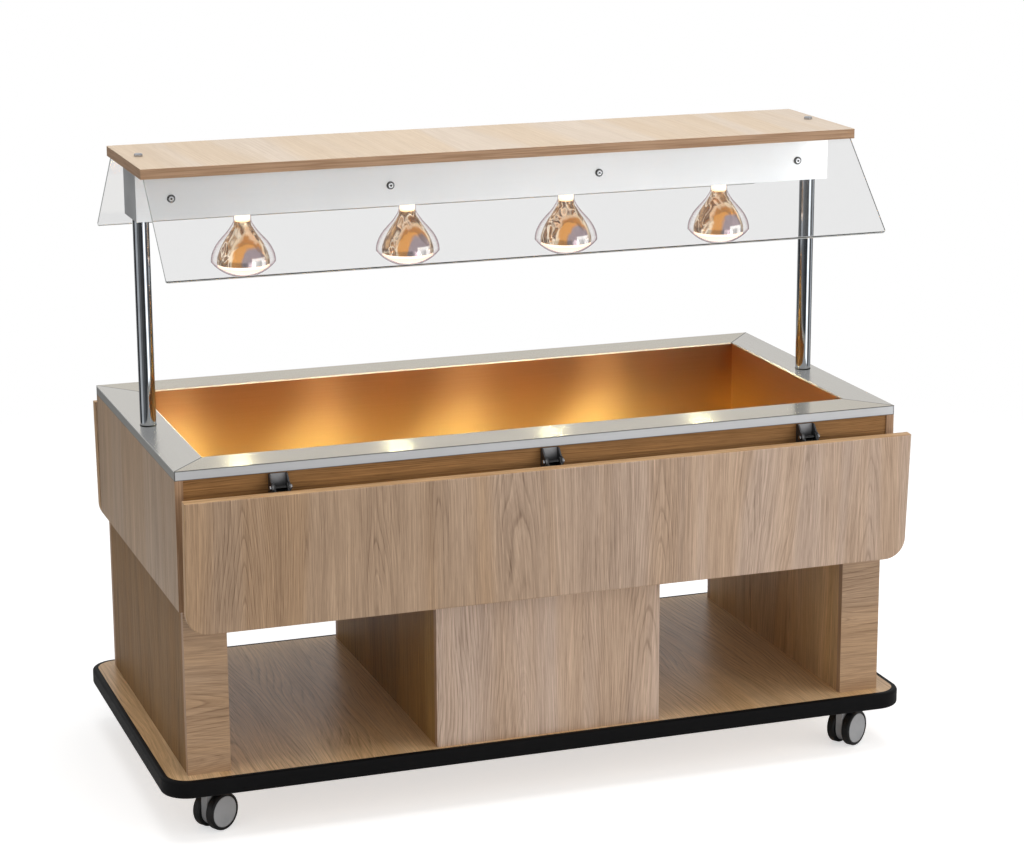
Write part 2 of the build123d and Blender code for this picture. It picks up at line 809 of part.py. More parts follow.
def pane_plane(side):
    return Plane(
        origin=(0, side * pane_top_y, pane_top_z),
        x_dir=(-side, 0, 0),
        z_dir=(0, side * pane_down[1], pane_down[0]),
    )


with BuildPart() as canopy_board:
    with BuildSketch(Plane.XY.offset(board_bottom)):
        Rectangle(board_length, board_depth)
        with GridLocations(2 * post_x, 0, 2, 1):
            Circle(cap_shank_diameter / 2 + loose_gap, mode=Mode.SUBTRACT)
    extrude(amount=board_thickness)
    chamfer(canopy_board.faces().sort_by(Axis.Z)[-1].outer_wire().edges(), length=board_edge_round)
    for groove_side in (-1, 1):
        with BuildSketch(pane_plane(groove_side)):
            with Locations((0, pane_bury + groove_gap)):
                Rectangle(pane_length + 2 * groove_gap, 2 * pane_bury, align=(Align.CENTER, Align.MAX))
        extrude(amount=pane_thickness / 2 + groove_gap, both=True, mode=Mode.SUBTRACT)
save(canopy_board.part, "canopy_board")

for pane_name, pane_side in (("front_glass", -1), ("rear_glass", 1)):
    with BuildPart() as pane:
        with BuildSketch(pane_plane(pane_side)):
            with Locations((0, pane_bury)):
                pane_face = Rectangle(pane_length, pane_run + pane_bury, align=(Align.CENTER, Align.MAX))
            fillet(pane_face.vertices().group_by(Axis.Y)[0], radius=pane_corner)
        extrude(amount=pane_thickness / 2, both=True)
    save(pane.part, pane_name)

with BuildPart() as canopy_cap_screws:
    with BuildSketch(Plane.XY.offset(board_top)):
        with GridLocations(2 * post_x, 0, 2, 1):
            Circle(cap_head_diameter / 2)
    extrude(amount=cap_head_height)
    fillet(canopy_cap_screws.faces().group_by(Axis.Z)[-1].edges(), radius=cap_head_height / 2)
    with BuildSketch(Plane.XY.offset(board_top)):
        with GridLocations(2 * post_x, 0, 2, 1):
            Circle(cap_shank_diameter / 2 - seat_gap)
    extrude(amount=-board_thickness - cap_thread_depth)
save(canopy_cap_screws.part, "canopy_cap_screws")

# Lampholders standing on the floor of the lamp bar, and the lamps in them
holder_floor = bar_bottom + bar_sheet
lamp_face = bar_bottom - lamp_drop
bulb_cap_top = lamp_face + bulb_neck_end + bulb_cap_length
with BuildPart() as lampholders:
    with BuildSketch(Plane.XY.offset(holder_floor)):
        with GridLocations(lamp_pitch, 0, lamp_count, 1):
            Circle(holder_flange / 2)
    extrude(amount=holder_flange_thickness)
    with BuildSketch(Plane.XY.offset(holder_floor)):
        with GridLocations(lamp_pitch, 0, lamp_count, 1):
            Circle(holder_diameter / 2)
    extrude(amount=holder_height)
    with BuildSketch(Plane.XY.offset(holder_floor)):
        with GridLocations(lamp_pitch, 0, lamp_count, 1):
            Circle(bulb_neck / 2 + loose_gap)
    extrude(amount=lamp_face + bulb_neck_end + loose_gap - holder_floor, mode=Mode.SUBTRACT)
    with BuildSketch(Plane.XY.offset(holder_floor)):
        with GridLocations(lamp_pitch, 0, lamp_count, 1):
            Circle(bulb_cap_diameter / 2 + seat_gap)
    extrude(amount=bulb_cap_top + seat_gap - holder_floor, mode=Mode.SUBTRACT)
save(lampholders.part, "lampholders")

with BuildPart() as heat_lamps:
    for lamp_site in range(lamp_count):
        lamp_x = (lamp_site - (lamp_count - 1) / 2) * lamp_pitch
        with BuildSketch(Plane(origin=(lamp_x, 0, lamp_face), x_dir=(1, 0, 0), z_dir=(0, -1, 0))):
            with BuildLine():
                bulb_face = TangentArc((0, 0), (bulb_diameter / 2, bulb_face_height), tangent=(1, 0))
                bulb_side = Spline(
                    (bulb_diameter / 2, bulb_face_height),
                    (bulb_shoulder_diameter / 2, bulb_shoulder_height),
                    (bulb_waist_diameter / 2, bulb_waist_height),
                    (bulb_neck / 2, bulb_neck_height),
                    tangents=((0, 1), (0, 1)),
                )
                Polyline(
                    (bulb_neck / 2, bulb_neck_height),
                    (bulb_neck / 2, bulb_neck_end),
                    (bulb_cap_diameter / 2, bulb_neck_end),
                    (bulb_cap_diameter / 2, bulb_neck_end + bulb_cap_length),
                    (0, bulb_neck_end + bulb_cap_length),
                    (0, 0),
                )
            make_face()
        revolve(axis=Axis((lamp_x, 0, lamp_face), (0, 0, 1)))
save(heat_lamps.part, "heat_lamps")

# Folding brackets. Sketches are drawn from the hinge pin: outwards, then up.
pivot_y = apron_face_y + pivot_out
pivot_z = rim_underside - pivot_drop
lean = radians(flap_lean)
arm_width = leg_width - 2 * leg_wall - 2 * arm_side_gap
leg_top = pivot_drop - leg_top_gap
bracket_sites = [(index - (bracket_count - 1) / 2) * bracket_pitch for index in range(bracket_count)]


def leg_planes(side):
    return [
        Plane(origin=(site, side * pivot_y, pivot_z), x_dir=(0, side, 0), z_dir=(side, 0, 0))
        for site in bracket_sites
    ]


def arm_planes(side):
    return [
        Plane(
            origin=(site, side * pivot_y, pivot_z),
            x_dir=(0, side * cos(lean), -sin(lean)),
            z_dir=(side, 0, 0),
        )
        for site in bracket_sites
    ]


# The stay turns at a fixed ratio to the flap, and its cross pin runs in a curved slot in the arm.
stay_x = stay_pivot_out - pivot_out
stay_y = -stay_pivot_drop


def stay_angle(flap_angle):
    reach = slot_standoff - stay_x * cos(flap_angle) - stay_y * sin(flap_angle)
    return flap_angle + asin(reach / stay_length)


stay_rest = stay_angle(-lean)
stay_ratio = (stay_angle(radians(flap_raised)) - stay_rest) / (radians(flap_raised) + lean)


def slot_point(share):
    turn = share * (radians(flap_raised) + lean)
    flap_angle = turn - lean
    angle = stay_rest + stay_ratio * turn
    out = stay_x + stay_length * sin(angle)
    up = stay_y - stay_length * cos(angle)
    return (out * cos(flap_angle) + up * sin(flap_angle), -out * sin(flap_angle) + up * cos(flap_angle))


heel_out = (leg_wall + loose_gap - pivot_out + heel_drop * sin(lean)) / cos(lean)
relief_out = stay_x * cos(lean) - stay_y * sin(lean) + stay_pin / 2 + relief_gap
relief_drop = -stay_x * sin(lean) - stay_y * cos(lean) + stay_pin + relief_gap
slot_width = stay_pin + 2 * loose_gap
slot_middle = slot_point(0.5)

with BuildPart() as flap_brackets:
    for leg_side in (-1, 1):
        with BuildSketch(*leg_planes(leg_side)):
            with BuildLine():
                Polyline(
                    (-pivot_out, leg_top),
                    (leg_top_reach - pivot_out, leg_top),
                    (0, hub_radius),
                    (hub_radius, 0),
                    (leg_foot_reach - pivot_out + hub_radius / 2, -leg_foot_drop + hub_radius),
                    (leg_foot_reach - pivot_out, -leg_foot_drop),
                    (leg_toe_reach - pivot_out, leg_top - leg_length),
                    (-pivot_out, leg_top - leg_length),
                    close=True,
                )
            make_face()
            Circle(hub_radius)
        extrude(amount=leg_width / 2, both=True)
        with BuildSketch(*leg_planes(leg_side)):
            with Locations((leg_wall - pivot_out, 0)):
                Rectangle(2 * pivot_out, 2 * leg_length, align=(Align.MIN, Align.CENTER))
        extrude(amount=leg_width / 2 - leg_wall, both=True, mode=Mode.SUBTRACT)
        with BuildSketch(*leg_planes(leg_side)):
            Circle(hinge_pin / 2 + seat_gap)
            with Locations((stay_x, stay_y)):
                Circle(stay_pin / 2 + seat_gap)
        extrude(amount=leg_width, both=True, mode=Mode.SUBTRACT)
save(flap_brackets.part, "flap_brackets")

with BuildPart() as flap_pins:
    for pin_side in (-1, 1):
        with BuildSketch(*leg_planes(pin_side)):
            Circle(pin_head / 2)
            with Locations((stay_x, stay_y)):
                Circle(stay_pin_head / 2)
        extrude(amount=leg_width / 2 + pin_head_height, both=True)
        with BuildSketch(*leg_planes(pin_side)):
            Circle(pin_head)
            Circle(hinge_pin / 2, mode=Mode.SUBTRACT)
            with Locations((stay_x, stay_y)):
                Circle(stay_pin_head)
                Circle(stay_pin / 2, mode=Mode.SUBTRACT)
            Circle(hinge_pin / 2, mode=Mode.SUBTRACT)
        extrude(amount=leg_width / 2, both=True, mode=Mode.SUBTRACT)
save(flap_pins.part, "flap_pins")

# Flaps, their arms and stays
for flap_name, flap_side in (("front_flap", -1), ("rear_flap", 1)):
    flap_plane = Plane(
        origin=(0, flap_side * pivot_y, pivot_z),
        x_dir=(-flap_side, 0, 0),
        z_dir=(0, flap_side * cos(lean), -sin(lean)),
    )
    with BuildPart() as flap_board:
        with BuildSketch(flap_plane.offset(flap_standoff)):
            with Locations((-flap_side * flap_shift, -flap_top_drop)):
                flap_face = Rectangle(
                    rim_length + 2 * flap_overhang,
                    flap_height,
                    align=(Align.CENTER, Align.MAX),
                )
            fillet(flap_face.vertices().group_by(Axis.Y)[0], radius=flap_corner)
        extrude(amount=flap_thickness)
        flap_faces = flap_board.faces().sort_by(Axis.Y)
        outer_face = flap_faces[-1] if flap_side > 0 else flap_faces[0]
        inner_face = flap_faces[0] if flap_side > 0 else flap_faces[-1]
        fillet(outer_face.edges() + inner_face.edges(), radius=flap_edge_round)
    save(flap_board.part, flap_name + "_board")

    with BuildPart() as flap_arms:
        with BuildSketch(*arm_planes(flap_side)):
            with BuildLine():
                Polyline(
                    (flap_standoff, -arm_web_top),
                    (flap_standoff, -arm_length),
                    (flap_standoff - arm_tip_depth, -arm_length),
                    (slot_middle[0] - slot_width / 2 - slot_margin, slot_middle[1]),
                    (heel_out, -heel_drop),
                    (relief_out, -relief_drop),
                    (relief_out, 0),
                    (arm_hub, 0),
                    close=True,
                )
            make_face()
            Circle(arm_hub)
        extrude(amount=arm_width / 2, both=True)
        with BuildSketch(*arm_planes(flap_side)):
            with Locations((flap_standoff - arm_wall, 0)):
                Rectangle(4 * flap_standoff, 3 * arm_length, align=(Align.MAX, Align.CENTER))
        extrude(amount=arm_width / 2 - arm_wall, both=True, mode=Mode.SUBTRACT)
        with BuildSketch(*arm_planes(flap_side)):
            Circle(hinge_pin / 2 + running_gap)
            for arc in range(slot_arcs):
                with BuildLine(mode=Mode.PRIVATE) as slot_line:
                    ThreePointArc(
                        slot_point(arc / slot_arcs),
                        slot_point((arc + 0.5) / slot_arcs),
                        slot_point((arc + 1) / slot_arcs),
                    )
                SlotArc(slot_line.line.edge(), slot_width)
        extrude(amount=leg_width, both=True, mode=Mode.SUBTRACT)
    save(flap_arms.part, flap_name + "_arms")

    with BuildPart() as flap_stays:
        stay_planes = [
            Plane(
                origin=(site, flap_side * (apron_face_y + stay_pivot_out), pivot_z - stay_pivot_drop),
                x_dir=(0, flap_side * sin(stay_rest), -cos(stay_rest)),
                z_dir=(flap_side, 0, 0),
            )
            for site in bracket_sites
        ]
        with BuildSketch(*stay_planes):
            with Locations((stay_length / 2, 0)):
                SlotCenterToCenter(stay_length, stay_depth)
            Circle(stay_pin / 2 + running_gap, mode=Mode.SUBTRACT)
        extrude(amount=stay_width / 2, both=True)
        with BuildSketch(*stay_planes):
            with Locations((stay_length, 0)):
                Circle(stay_pin / 2)
        extrude(amount=arm_width / 2, both=True)
    save(flap_stays.part, flap_name + "_stays")

# Casters
caster_x = rim_length / 2 - caster_inset_end
caster_y = rim_width / 2 - caster_inset_side
plate_underside = base_underside - caster_plate_thickness
wheel_radius = wheel_diameter / 2
turn = radians(caster_swivel)
axle_direction = (sin(turn), -cos(turn), 0)
trail_direction = (cos(turn), sin(turn), 0)
wheel_inner = hood_width / 2 + hood_wheel_gap

with BuildPart() as caster_plates:
    with BuildSketch(Plane.XY.offset(plate_underside)):
        with GridLocations(2 * caster_x, 2 * caster_y, 2, 2):
            RectangleRounded(caster_plate, caster_plate, caster_plate_corner)
            Circle(kingpin / 2 + running_gap, mode=Mode.SUBTRACT)
    extrude(amount=caster_plate_thickness)
save(caster_plates.part, "caster_plates")

for caster_name, x_side, y_side in (
    ("front_left", -1, -1),
    ("front_right", 1, -1),
    ("rear_left", -1, 1),
    ("rear_right", 1, 1),
):
    swivel = Vector(x_side * caster_x, y_side * caster_y, wheel_radius)
    side_plane = Plane(origin=swivel, x_dir=trail_direction, z_dir=axle_direction)
    hub_centre = swivel + Vector(*trail_direction) * caster_trail
    hub_axis = Axis(hub_centre, axle_direction)
    wheel_plane = Plane(origin=hub_centre, x_dir=(0, 0, 1), z_dir=trail_direction)
    with BuildPart() as hood:
        with BuildSketch(side_plane):
            with Locations((caster_trail, 0)):
                Circle(hood_radius)
            with BuildLine():
                Polyline(
                    (-hood_boss / 2, plate_underside - wheel_radius - raceway_height - loose_gap),
                    (hood_boss / 2, plate_underside - wheel_radius - raceway_height - loose_gap),
                    (caster_trail + hood_radius, 0),
                    (caster_trail - hood_radius, 0),
                    close=True,
                )
            make_face()
        extrude(amount=hood_width / 2, both=True)
        with BuildSketch(Plane.XY.offset(wheel_diameter + loose_gap)):
            with Locations((swivel.X, swivel.Y)):
                Circle(hood_boss / 2)
        extrude(amount=plate_underside - loose_gap - wheel_diameter - loose_gap)
        with BuildSketch(Plane.XY.offset(plate_underside - loose_gap)):
            with Locations((swivel.X, swivel.Y)):
                Circle(raceway_diameter / 2)
        extrude(amount=-raceway_height)
        with BuildSketch(Plane.XY.offset(plate_underside - loose_gap)):
            with Locations((swivel.X, swivel.Y)):
                Circle(kingpin / 2)
        extrude(amount=caster_plate_thickness)
        with BuildSketch(side_plane):
            with Locations((caster_trail, 0)):
                Circle(axle / 2)
        extrude(amount=wheel_inner + axle_engagement, both=True)
    save(hood.part, "caster_hood_" + caster_name)

    for wheel_name, wheel_side in (("a", 1), ("b", -1)):
        with BuildPart() as wheel:
            with BuildSketch(wheel_plane) as wheel_profile:
                inner = wheel_side * wheel_inner
                outer = wheel_side * (wheel_inner + wheel_width)
                with BuildLine():
                    Polyline(
                        (axle / 2 + running_gap, inner),
                        (wheel_hub / 2, inner),
                        (wheel_hub / 2, inner + wheel_side * wheel_hollow),
                        (wheel_radius - wheel_dish_rim, inner + wheel_side * wheel_hollow),
                        (wheel_radius - wheel_dish_rim, inner),
                        (wheel_radius, inner),
                        (wheel_radius, outer),
                        (wheel_radius - wheel_dish_rim, outer),
                        (wheel_radius - wheel_dish_rim - wheel_dish, outer - wheel_side * wheel_dish),
                        (0, outer - wheel_side * wheel_dish),
                        (0, inner + wheel_side * (axle_engagement + loose_gap)),
                        (axle / 2 + running_gap, inner + wheel_side * (axle_engagement + loose_gap)),
                        close=True,
                    )
                make_face()
                fillet(wheel_profile.vertices().group_by(Axis.X)[-1], radius=wheel_round)
            revolve(axis=hub_axis)
        save(wheel.part, "caster_wheel_" + caster_name + "_" + wheel_name)
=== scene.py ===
import json
import math

import bmesh
import bpy
from mathutils import Matrix, Vector
from mathutils.bvhtree import BVHTree


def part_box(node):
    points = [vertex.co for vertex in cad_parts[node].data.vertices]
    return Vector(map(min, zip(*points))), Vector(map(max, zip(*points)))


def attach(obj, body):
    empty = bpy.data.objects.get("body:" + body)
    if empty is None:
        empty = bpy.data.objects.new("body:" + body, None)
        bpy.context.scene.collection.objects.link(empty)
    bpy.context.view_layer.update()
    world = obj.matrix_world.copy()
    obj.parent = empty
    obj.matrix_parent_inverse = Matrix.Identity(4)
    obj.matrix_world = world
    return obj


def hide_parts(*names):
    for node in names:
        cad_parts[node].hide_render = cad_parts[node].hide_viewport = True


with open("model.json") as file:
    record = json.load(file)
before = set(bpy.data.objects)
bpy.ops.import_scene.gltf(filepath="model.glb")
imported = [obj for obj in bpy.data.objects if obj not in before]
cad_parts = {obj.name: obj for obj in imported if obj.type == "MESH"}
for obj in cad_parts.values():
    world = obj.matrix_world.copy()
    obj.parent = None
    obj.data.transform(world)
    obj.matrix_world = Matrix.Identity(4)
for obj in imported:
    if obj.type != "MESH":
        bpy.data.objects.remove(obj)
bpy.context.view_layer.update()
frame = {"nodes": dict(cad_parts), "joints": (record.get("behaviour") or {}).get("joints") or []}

nodes = frame["nodes"]
scene = bpy.context.scene


# Colours

white = (1, 1, 1, 1)


def grey(level):
    """A grey in the renderer's linear values."""
    return (level, level, level, 1)


def rgb(red, green, blue):
    """A colour given as 0-255 screen values, turned into the renderer's linear values."""
    def linear(value):
        share = value / 255
        return share / 12.92 if share <= 0.04045 else ((share + 0.055) / 1.055) ** 2.4
    return (linear(red), linear(green), linear(blue), 1.0)


# Node helpers

class Nodes:
    """A node tree, built with short calls."""

    def __init__(self, owner, output_kind):
        owner.use_nodes = True
        self.tree = owner.node_tree
        self.tree.nodes.clear()
        self.output = self.node(output_kind)
        self.coordinates = self.node("ShaderNodeTexCoord")

    def node(self, kind, inputs=None, **settings):
        made = self.tree.nodes.new(kind)
        for key, value in settings.items():
            setattr(made, key, value)
        for key, value in (inputs or {}).items():
            self.put(made.inputs[key], value)
        return made

    def put(self, socket, value):
        """Links a socket to the input, or sets the input to a plain value."""
        if isinstance(value, bpy.types.NodeSocket):
            self.tree.links.new(value, socket)
        else:
            socket.default_value = value

    def math(self, operation, a, b=0.0, clamp=False):
        made = self.node("ShaderNodeMath", {0: a, 1: b}, operation=operation, use_clamp=clamp)
        return made.outputs[0]

    def split(self, vector):
        return dict(zip("XYZ", self.node("ShaderNodeSeparateXYZ", {0: vector}).outputs))

    def mix(self, share, a, b, blend="MIX"):
        """Mixes two colours. The numbers are the places of the colour sockets on a mix node."""
        made = self.node("ShaderNodeMix", {0: share, 6: a, 7: b}, data_type="RGBA", blend_type=blend)
        return made.outputs[2]

    def ramp(self, value, stops):
        made = self.node("ShaderNodeValToRGB", {0: value})
        elements = made.color_ramp.elements
        while len(elements) < len(stops):
            elements.new(0.5)
        for element, (position, colour) in zip(elements, stops):
            element.position = position
            element.color = colour
        return made.outputs[0]

    def mix_shaders(self, share, first, second):
        return self.node("ShaderNodeMixShader", {0: share, 1: first.outputs[0], 2: second.outputs[0]})

    def show(self, shader):
        """Makes a shader the one that is seen."""
        self.put(self.output.inputs["Surface"], shader.outputs[0])


class Shader(Nodes):
    """One material's node tree."""

    def __init__(self, name):
        self.material = bpy.data.materials.new(name)
        super().__init__(self.material, "ShaderNodeOutputMaterial")
        self.place = self.coordinates.outputs["Object"]
        self.axis = self.split(self.place)

    def scaled(self, a, factor, shift=0.0):
        return self.node("ShaderNodeMath", {0: a, 1: factor, 2: shift}, operation="MULTIPLY_ADD").outputs[0]

    def chain(self, operation, first, *others, clamp=False):
        """Joins several values by one operation. Only the last step is clamped."""
        for value in others[:-1]:
            first = self.math(operation, first, value)
        return self.math(operation, first, others[-1], clamp)

    def total(self, *values, clamp=False):
        return self.chain("ADD", *values, clamp=clamp)

    def product(self, *values, clamp=False):
        return self.chain("MULTIPLY", *values, clamp=clamp)

    def hypotenuse(self, x, y):
        return self.math("SQRT", self.total(self.product(x, x), self.product(y, y)))

    def between(self, value, low, high, start=0.0, end=1.0):
        """Goes softly from start to end while the value goes from low to high."""
        limits = {"From Min": low, "From Max": high, "To Min": start, "To Max": end}
        made = self.node("ShaderNodeMapRange", {"Value": value, **limits}, interpolation_type="SMOOTHSTEP")
        return made.outputs[0]

    def fade(self, value, low, high, start=1.0):
        return self.between(value, low, high, start, 0.0)

    def vector(self, x, y, z):
        return self.node("ShaderNodeCombineXYZ", {0: x, 1: y, 2: z}).outputs[0]

    def noise(self, place=None, detail=2.0, roughness=0.5, scale=1.0, distortion=0.0):
        inputs = {"Scale": scale, "Detail": detail, "Roughness": roughness, "Distortion": distortion}
        inputs["Vector"] = self.place if place is None else place
        return self.node("ShaderNodeTexNoise", inputs).outputs[0]

    def cells(self, scale):
        made = self.node("ShaderNodeTexVoronoi", {"Vector": self.place, "Scale": scale})
        return made.outputs["Distance"]

    def bump(self, height, strength, distance):
        inputs = {"Height": height, "Strength": strength, "Distance": distance}
        return self.node("ShaderNodeBump", inputs).outputs[0]

    def normal_axis(self, axis):
        """How squarely a face looks along an axis, either way."""
        return self.math("ABSOLUTE", self.split(self.coordinates.outputs["Normal"])[axis])

    def from_nearest(self, first, pitch):
        """How far along X a point is from the nearest piece of an even row."""
        onward = self.math("ADD", self.axis["X"], pitch / 2 - first)
        return self.scaled(self.math("MODULO", onward, pitch), 1.0, -pitch / 2)

    def surface(self, **inputs):
        named = {key.replace("_", " "): value for key, value in inputs.items()}
        made = self.node("ShaderNodeBsdfPrincipled", named)
        self.show(made)
        return made

    def clear_in_shadow(self, shader, tint):
        """Lets light through glass without a dark shadow."""
        path = self.node("ShaderNodeLightPath")
        see_through = self.node("ShaderNodeBsdfTransparent", {"Color": tint})
        self.show(self.mix_shaders(path.outputs["Is Shadow Ray"], shader, see_through))


# Oak laminate

# How the growth lines run: the gap between folds, lines per metre next to a fold, how fast they close up away
# from it, their rise along the grain, and how much the rise varies.
flowered = {"gap": 0.072, "near": 85.0, "closing": 1000.0, "rise": 9.0, "lift": 6.5}
broad = {"gap": 0.130, "near": 46.0, "closing": 330.0, "rise": 4.0, "lift": 6.0}
straight = {"gap": 0.090, "near": 120.0, "closing": 1000.0, "rise": 1.5, "lift": 2.0}
crossed = {"gap": 0.060, "near": 60.0, "closing": 500.0, "rise": 14.0, "lift": 7.0}

# Streaks that make up the figure: scale across and along the grain, shift, detail and roughness.
oak_streaks = {
    "bend": (3.6, 0.5, 0.0, 2.0, 0.5),
    "lift": (6.5, 2.8, 3.0, 1.0, 0.5),
    "waver": (90.0, 12.0, 0.0, 2.0, 0.5),
    "strength": (9.0, 3.5, 9.0, 1.0, 0.5),
    "ring": (2.2, 1.6, 5.0, 3.0, 0.7),
    "fibre": (460.0, 5.0, 0.0, 3.0, 0.65),
    "pore": (560.0, 22.0, 1.0, 2.0, 0.6),
    "fleck": (480.0, 12.0, 8.0, 2.0, 0.6),
    "band": (20.0, 0.7, 6.0, 3.0, 0.6),
    "golden": (11.0, 0.5, 4.0, 2.0, 0.5),
    "warm": (2.4, 0.5, 2.0, 1.0, 0.5),
}
# Darkness across one growth line: a sharp start and a long fade.
growth_line = [
    (0.00, grey(0.85)), (0.06, grey(1.00)), (0.20, grey(0.34)),
    (0.55, grey(0.10)), (0.92, grey(0.00)), (1.00, grey(0.85)),
]
golden_tint = (0.98, 0.915, 0.80, 1)
# The two sides of a board get different figures, this far apart in the noise.
sheet_shift = 3.7
# Rounds the crease of each fold, in square metres.
fold_rounding = 0.00002


def oak(name, along, across, figure, face_colours, edge_colours, seed, warm=None, rough=0.34, gloss=0.5):
    """Printed oak. Growth lines are level lines of soft folds that run along the grain and slowly rise."""
    shade = Shader(name)
    through = next(axis for axis in "XYZ" if axis not in (along, across))
    lengthwise, sideways, inward = (shade.axis[axis] for axis in (along, across, through))
    sheet = shade.scaled(shade.math("SIGN", inward), sheet_shift, seed)

    def streaks(place, kind):
        across_scale, along_scale, shift, detail, roughness = oak_streaks[kind]
        spot = shade.vector(
            shade.scaled(place, across_scale),
            shade.scaled(lengthwise, along_scale),
            shade.scaled(sheet, 1.0, shift),
        )
        return shade.noise(spot, detail=detail, roughness=roughness)

    bent = shade.total(sideways, shade.scaled(streaks(sideways, "bend"), 0.17))
    fold = shade.math("PINGPONG", bent, figure["gap"])
    fold = shade.math("SQRT", shade.scaled(fold, fold, fold_rounding))
    count = shade.total(
        shade.product(fold, shade.scaled(fold, figure["closing"], figure["near"])),
        shade.scaled(lengthwise, figure["rise"]),
        shade.scaled(streaks(sideways, "lift"), figure["lift"]),
        shade.scaled(streaks(sideways, "waver"), 0.45),
    )
    line = shade.ramp(shade.math("FRACT", count), growth_line)
    line = shade.product(line, shade.between(streaks(sideways, "strength"), 0.38, 0.62, 0.2, 1.0))
    ring = streaks(count, "ring")
    fibre = streaks(bent, "fibre")
    pore = shade.between(streaks(bent, "pore"), 0.54, 0.66)
    fleck = shade.between(streaks(bent, "fleck"), 0.54, 0.66)
    band = streaks(bent, "band")

    depth = shade.total(
        shade.scaled(line, 0.30, 0.35),
        shade.scaled(ring, 0.48, -0.24),
        shade.scaled(fibre, 1.0, -0.5),
        shade.scaled(pore, 0.14),
        shade.scaled(fleck, -0.16),
        shade.scaled(band, 0.6, -0.3),
        clamp=True,
    )
    face = shade.mix(depth, *face_colours)
    golden = shade.between(streaks(bent, "golden"), 0.42, 0.60, 0.0, 0.8)
    face = shade.mix(golden, face, golden_tint, blend="MULTIPLY")
    # A warm tint that grows towards the low end across the grain and darkens it; on the flap it is partly
    # painted shade.
    if warm:
        patches = shade.scaled(streaks(sideways, "warm"), 0.9, -0.45)
        tint = shade.total(patches, shade.scaled(sideways, -0.7, 0.4))
        face = shade.mix(shade.between(tint, 0.0, 0.9), face, warm, blend="MULTIPLY")
    trim_place = shade.vector(
        shade.scaled(lengthwise, 9.0), shade.scaled(sideways, 9.0), shade.scaled(inward, 500.0)
    )
    trim = shade.noise(trim_place, detail=3.0)
    edge = shade.mix(shade.between(trim, 0.35, 0.65), *edge_colours)
    colour = shade.mix(shade.between(shade.normal_axis(through), 0.55, 0.75), edge, face)

    relief = shade.math("SUBTRACT", shade.scaled(fibre, 0.5), shade.scaled(pore, 0.8))
    shade.surface(
        Base_Color=colour,
        Roughness=shade.scaled(fibre, 0.20, rough),
        Normal=shade.bump(relief, strength=0.15, distance=0.0003),
        Specular_IOR_Level=gloss,
    )
    return shade.material


# Metals

# The rim strips: their width on the ends and long sides, corners seen from above, lowest and highest level.
rim_border = Vector((0.0725, 0.0855))
rim_outer = Vector((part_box("rim_end_strips")[1].x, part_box("rim_long_strips")[1].y))
rim_inner = rim_outer - rim_border
rim_middle = (rim_outer + rim_inner) / 2
rim_low, rim_top = (corner.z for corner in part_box("rim_long_strips"))
# How far from its edge the painted tone of a bend line, the painted shadow line along a lip's lower edge,
# and the dark line of a mitre start and stop changing.
fold_from, fold_to = 0.0012, 0.0026
shadow_line_from, shadow_line_to = 0.0006, 0.0018
mitre_from, mitre_to = 0.0006, 0.0016
# Dark tone of the painted shadow line along a lip's lower edge, and of the painted shade on the long strips'
# top bend.
painted_shade_tone = (0.10, 0.095, 0.085, 1)
# Scale of the brushed lines along and across their run.
hair_along, hair_across = 6.0, 700.0


def rim_lips(shade, lip, hair, face):
    """Gives a rim strip's folded lips their own tones, which stand in for how light, shade and reflections
    fall on them: painted light.

    Returns the strip's colour, how metallic it is, and which of its faces are upright.
    """
    reach = shade.math("ABSOLUTE", shade.axis[lip["axis"]])
    upright = shade.fade(shade.normal_axis("Z"), 0.5, 0.8)
    outer_lip = shade.product(upright, shade.math("GREATER_THAN", reach, lip["middle"]))
    inner_lip = shade.math("SUBTRACT", upright, outer_lip)
    # A painted highlight along the inner bend of the top, as strong as the shine value.
    inner_highlight = shade.fade(reach, lip["inner"] + fold_from, lip["inner"] + fold_to, lip["shine"])
    inside = shade.math("MAXIMUM", inner_lip, inner_highlight)
    # A painted line along the top bend: painted shade on the long strips, a painted highlight on the end
    # strips.
    bend_line = shade.between(shade.axis["Z"], rim_top - fold_to, rim_top - fold_from)
    # A painted shadow line along the lip's lower edge.
    shadow_line = shade.fade(shade.axis["Z"], rim_low + shadow_line_from, rim_low + shadow_line_to)
    # The outer lip takes its own tones, a painted reflection, with the painted bend line at its top.
    lip_face = shade.mix(bend_line, shade.mix(hair, *lip["tones"]), lip["fold"])
    lip_face = shade.mix(shadow_line, lip_face, painted_shade_tone)
    face = shade.mix(outer_lip, face, lip_face)
    # The inner lip takes a tone of its own: a painted highlight on the long strips, painted shade on the end
    # strips.
    face = shade.mix(inside, face, lip["inner_painted_tone"])
    satin = shade.math("MAXIMUM", shade.math("MAXIMUM", bend_line, shadow_line), 1.0 - lip["metallic"])
    metallic = shade.scaled(shade.product(outer_lip, satin), -1.0, 1.0)
    return face, shade.math("SUBTRACT", metallic, inside), upright


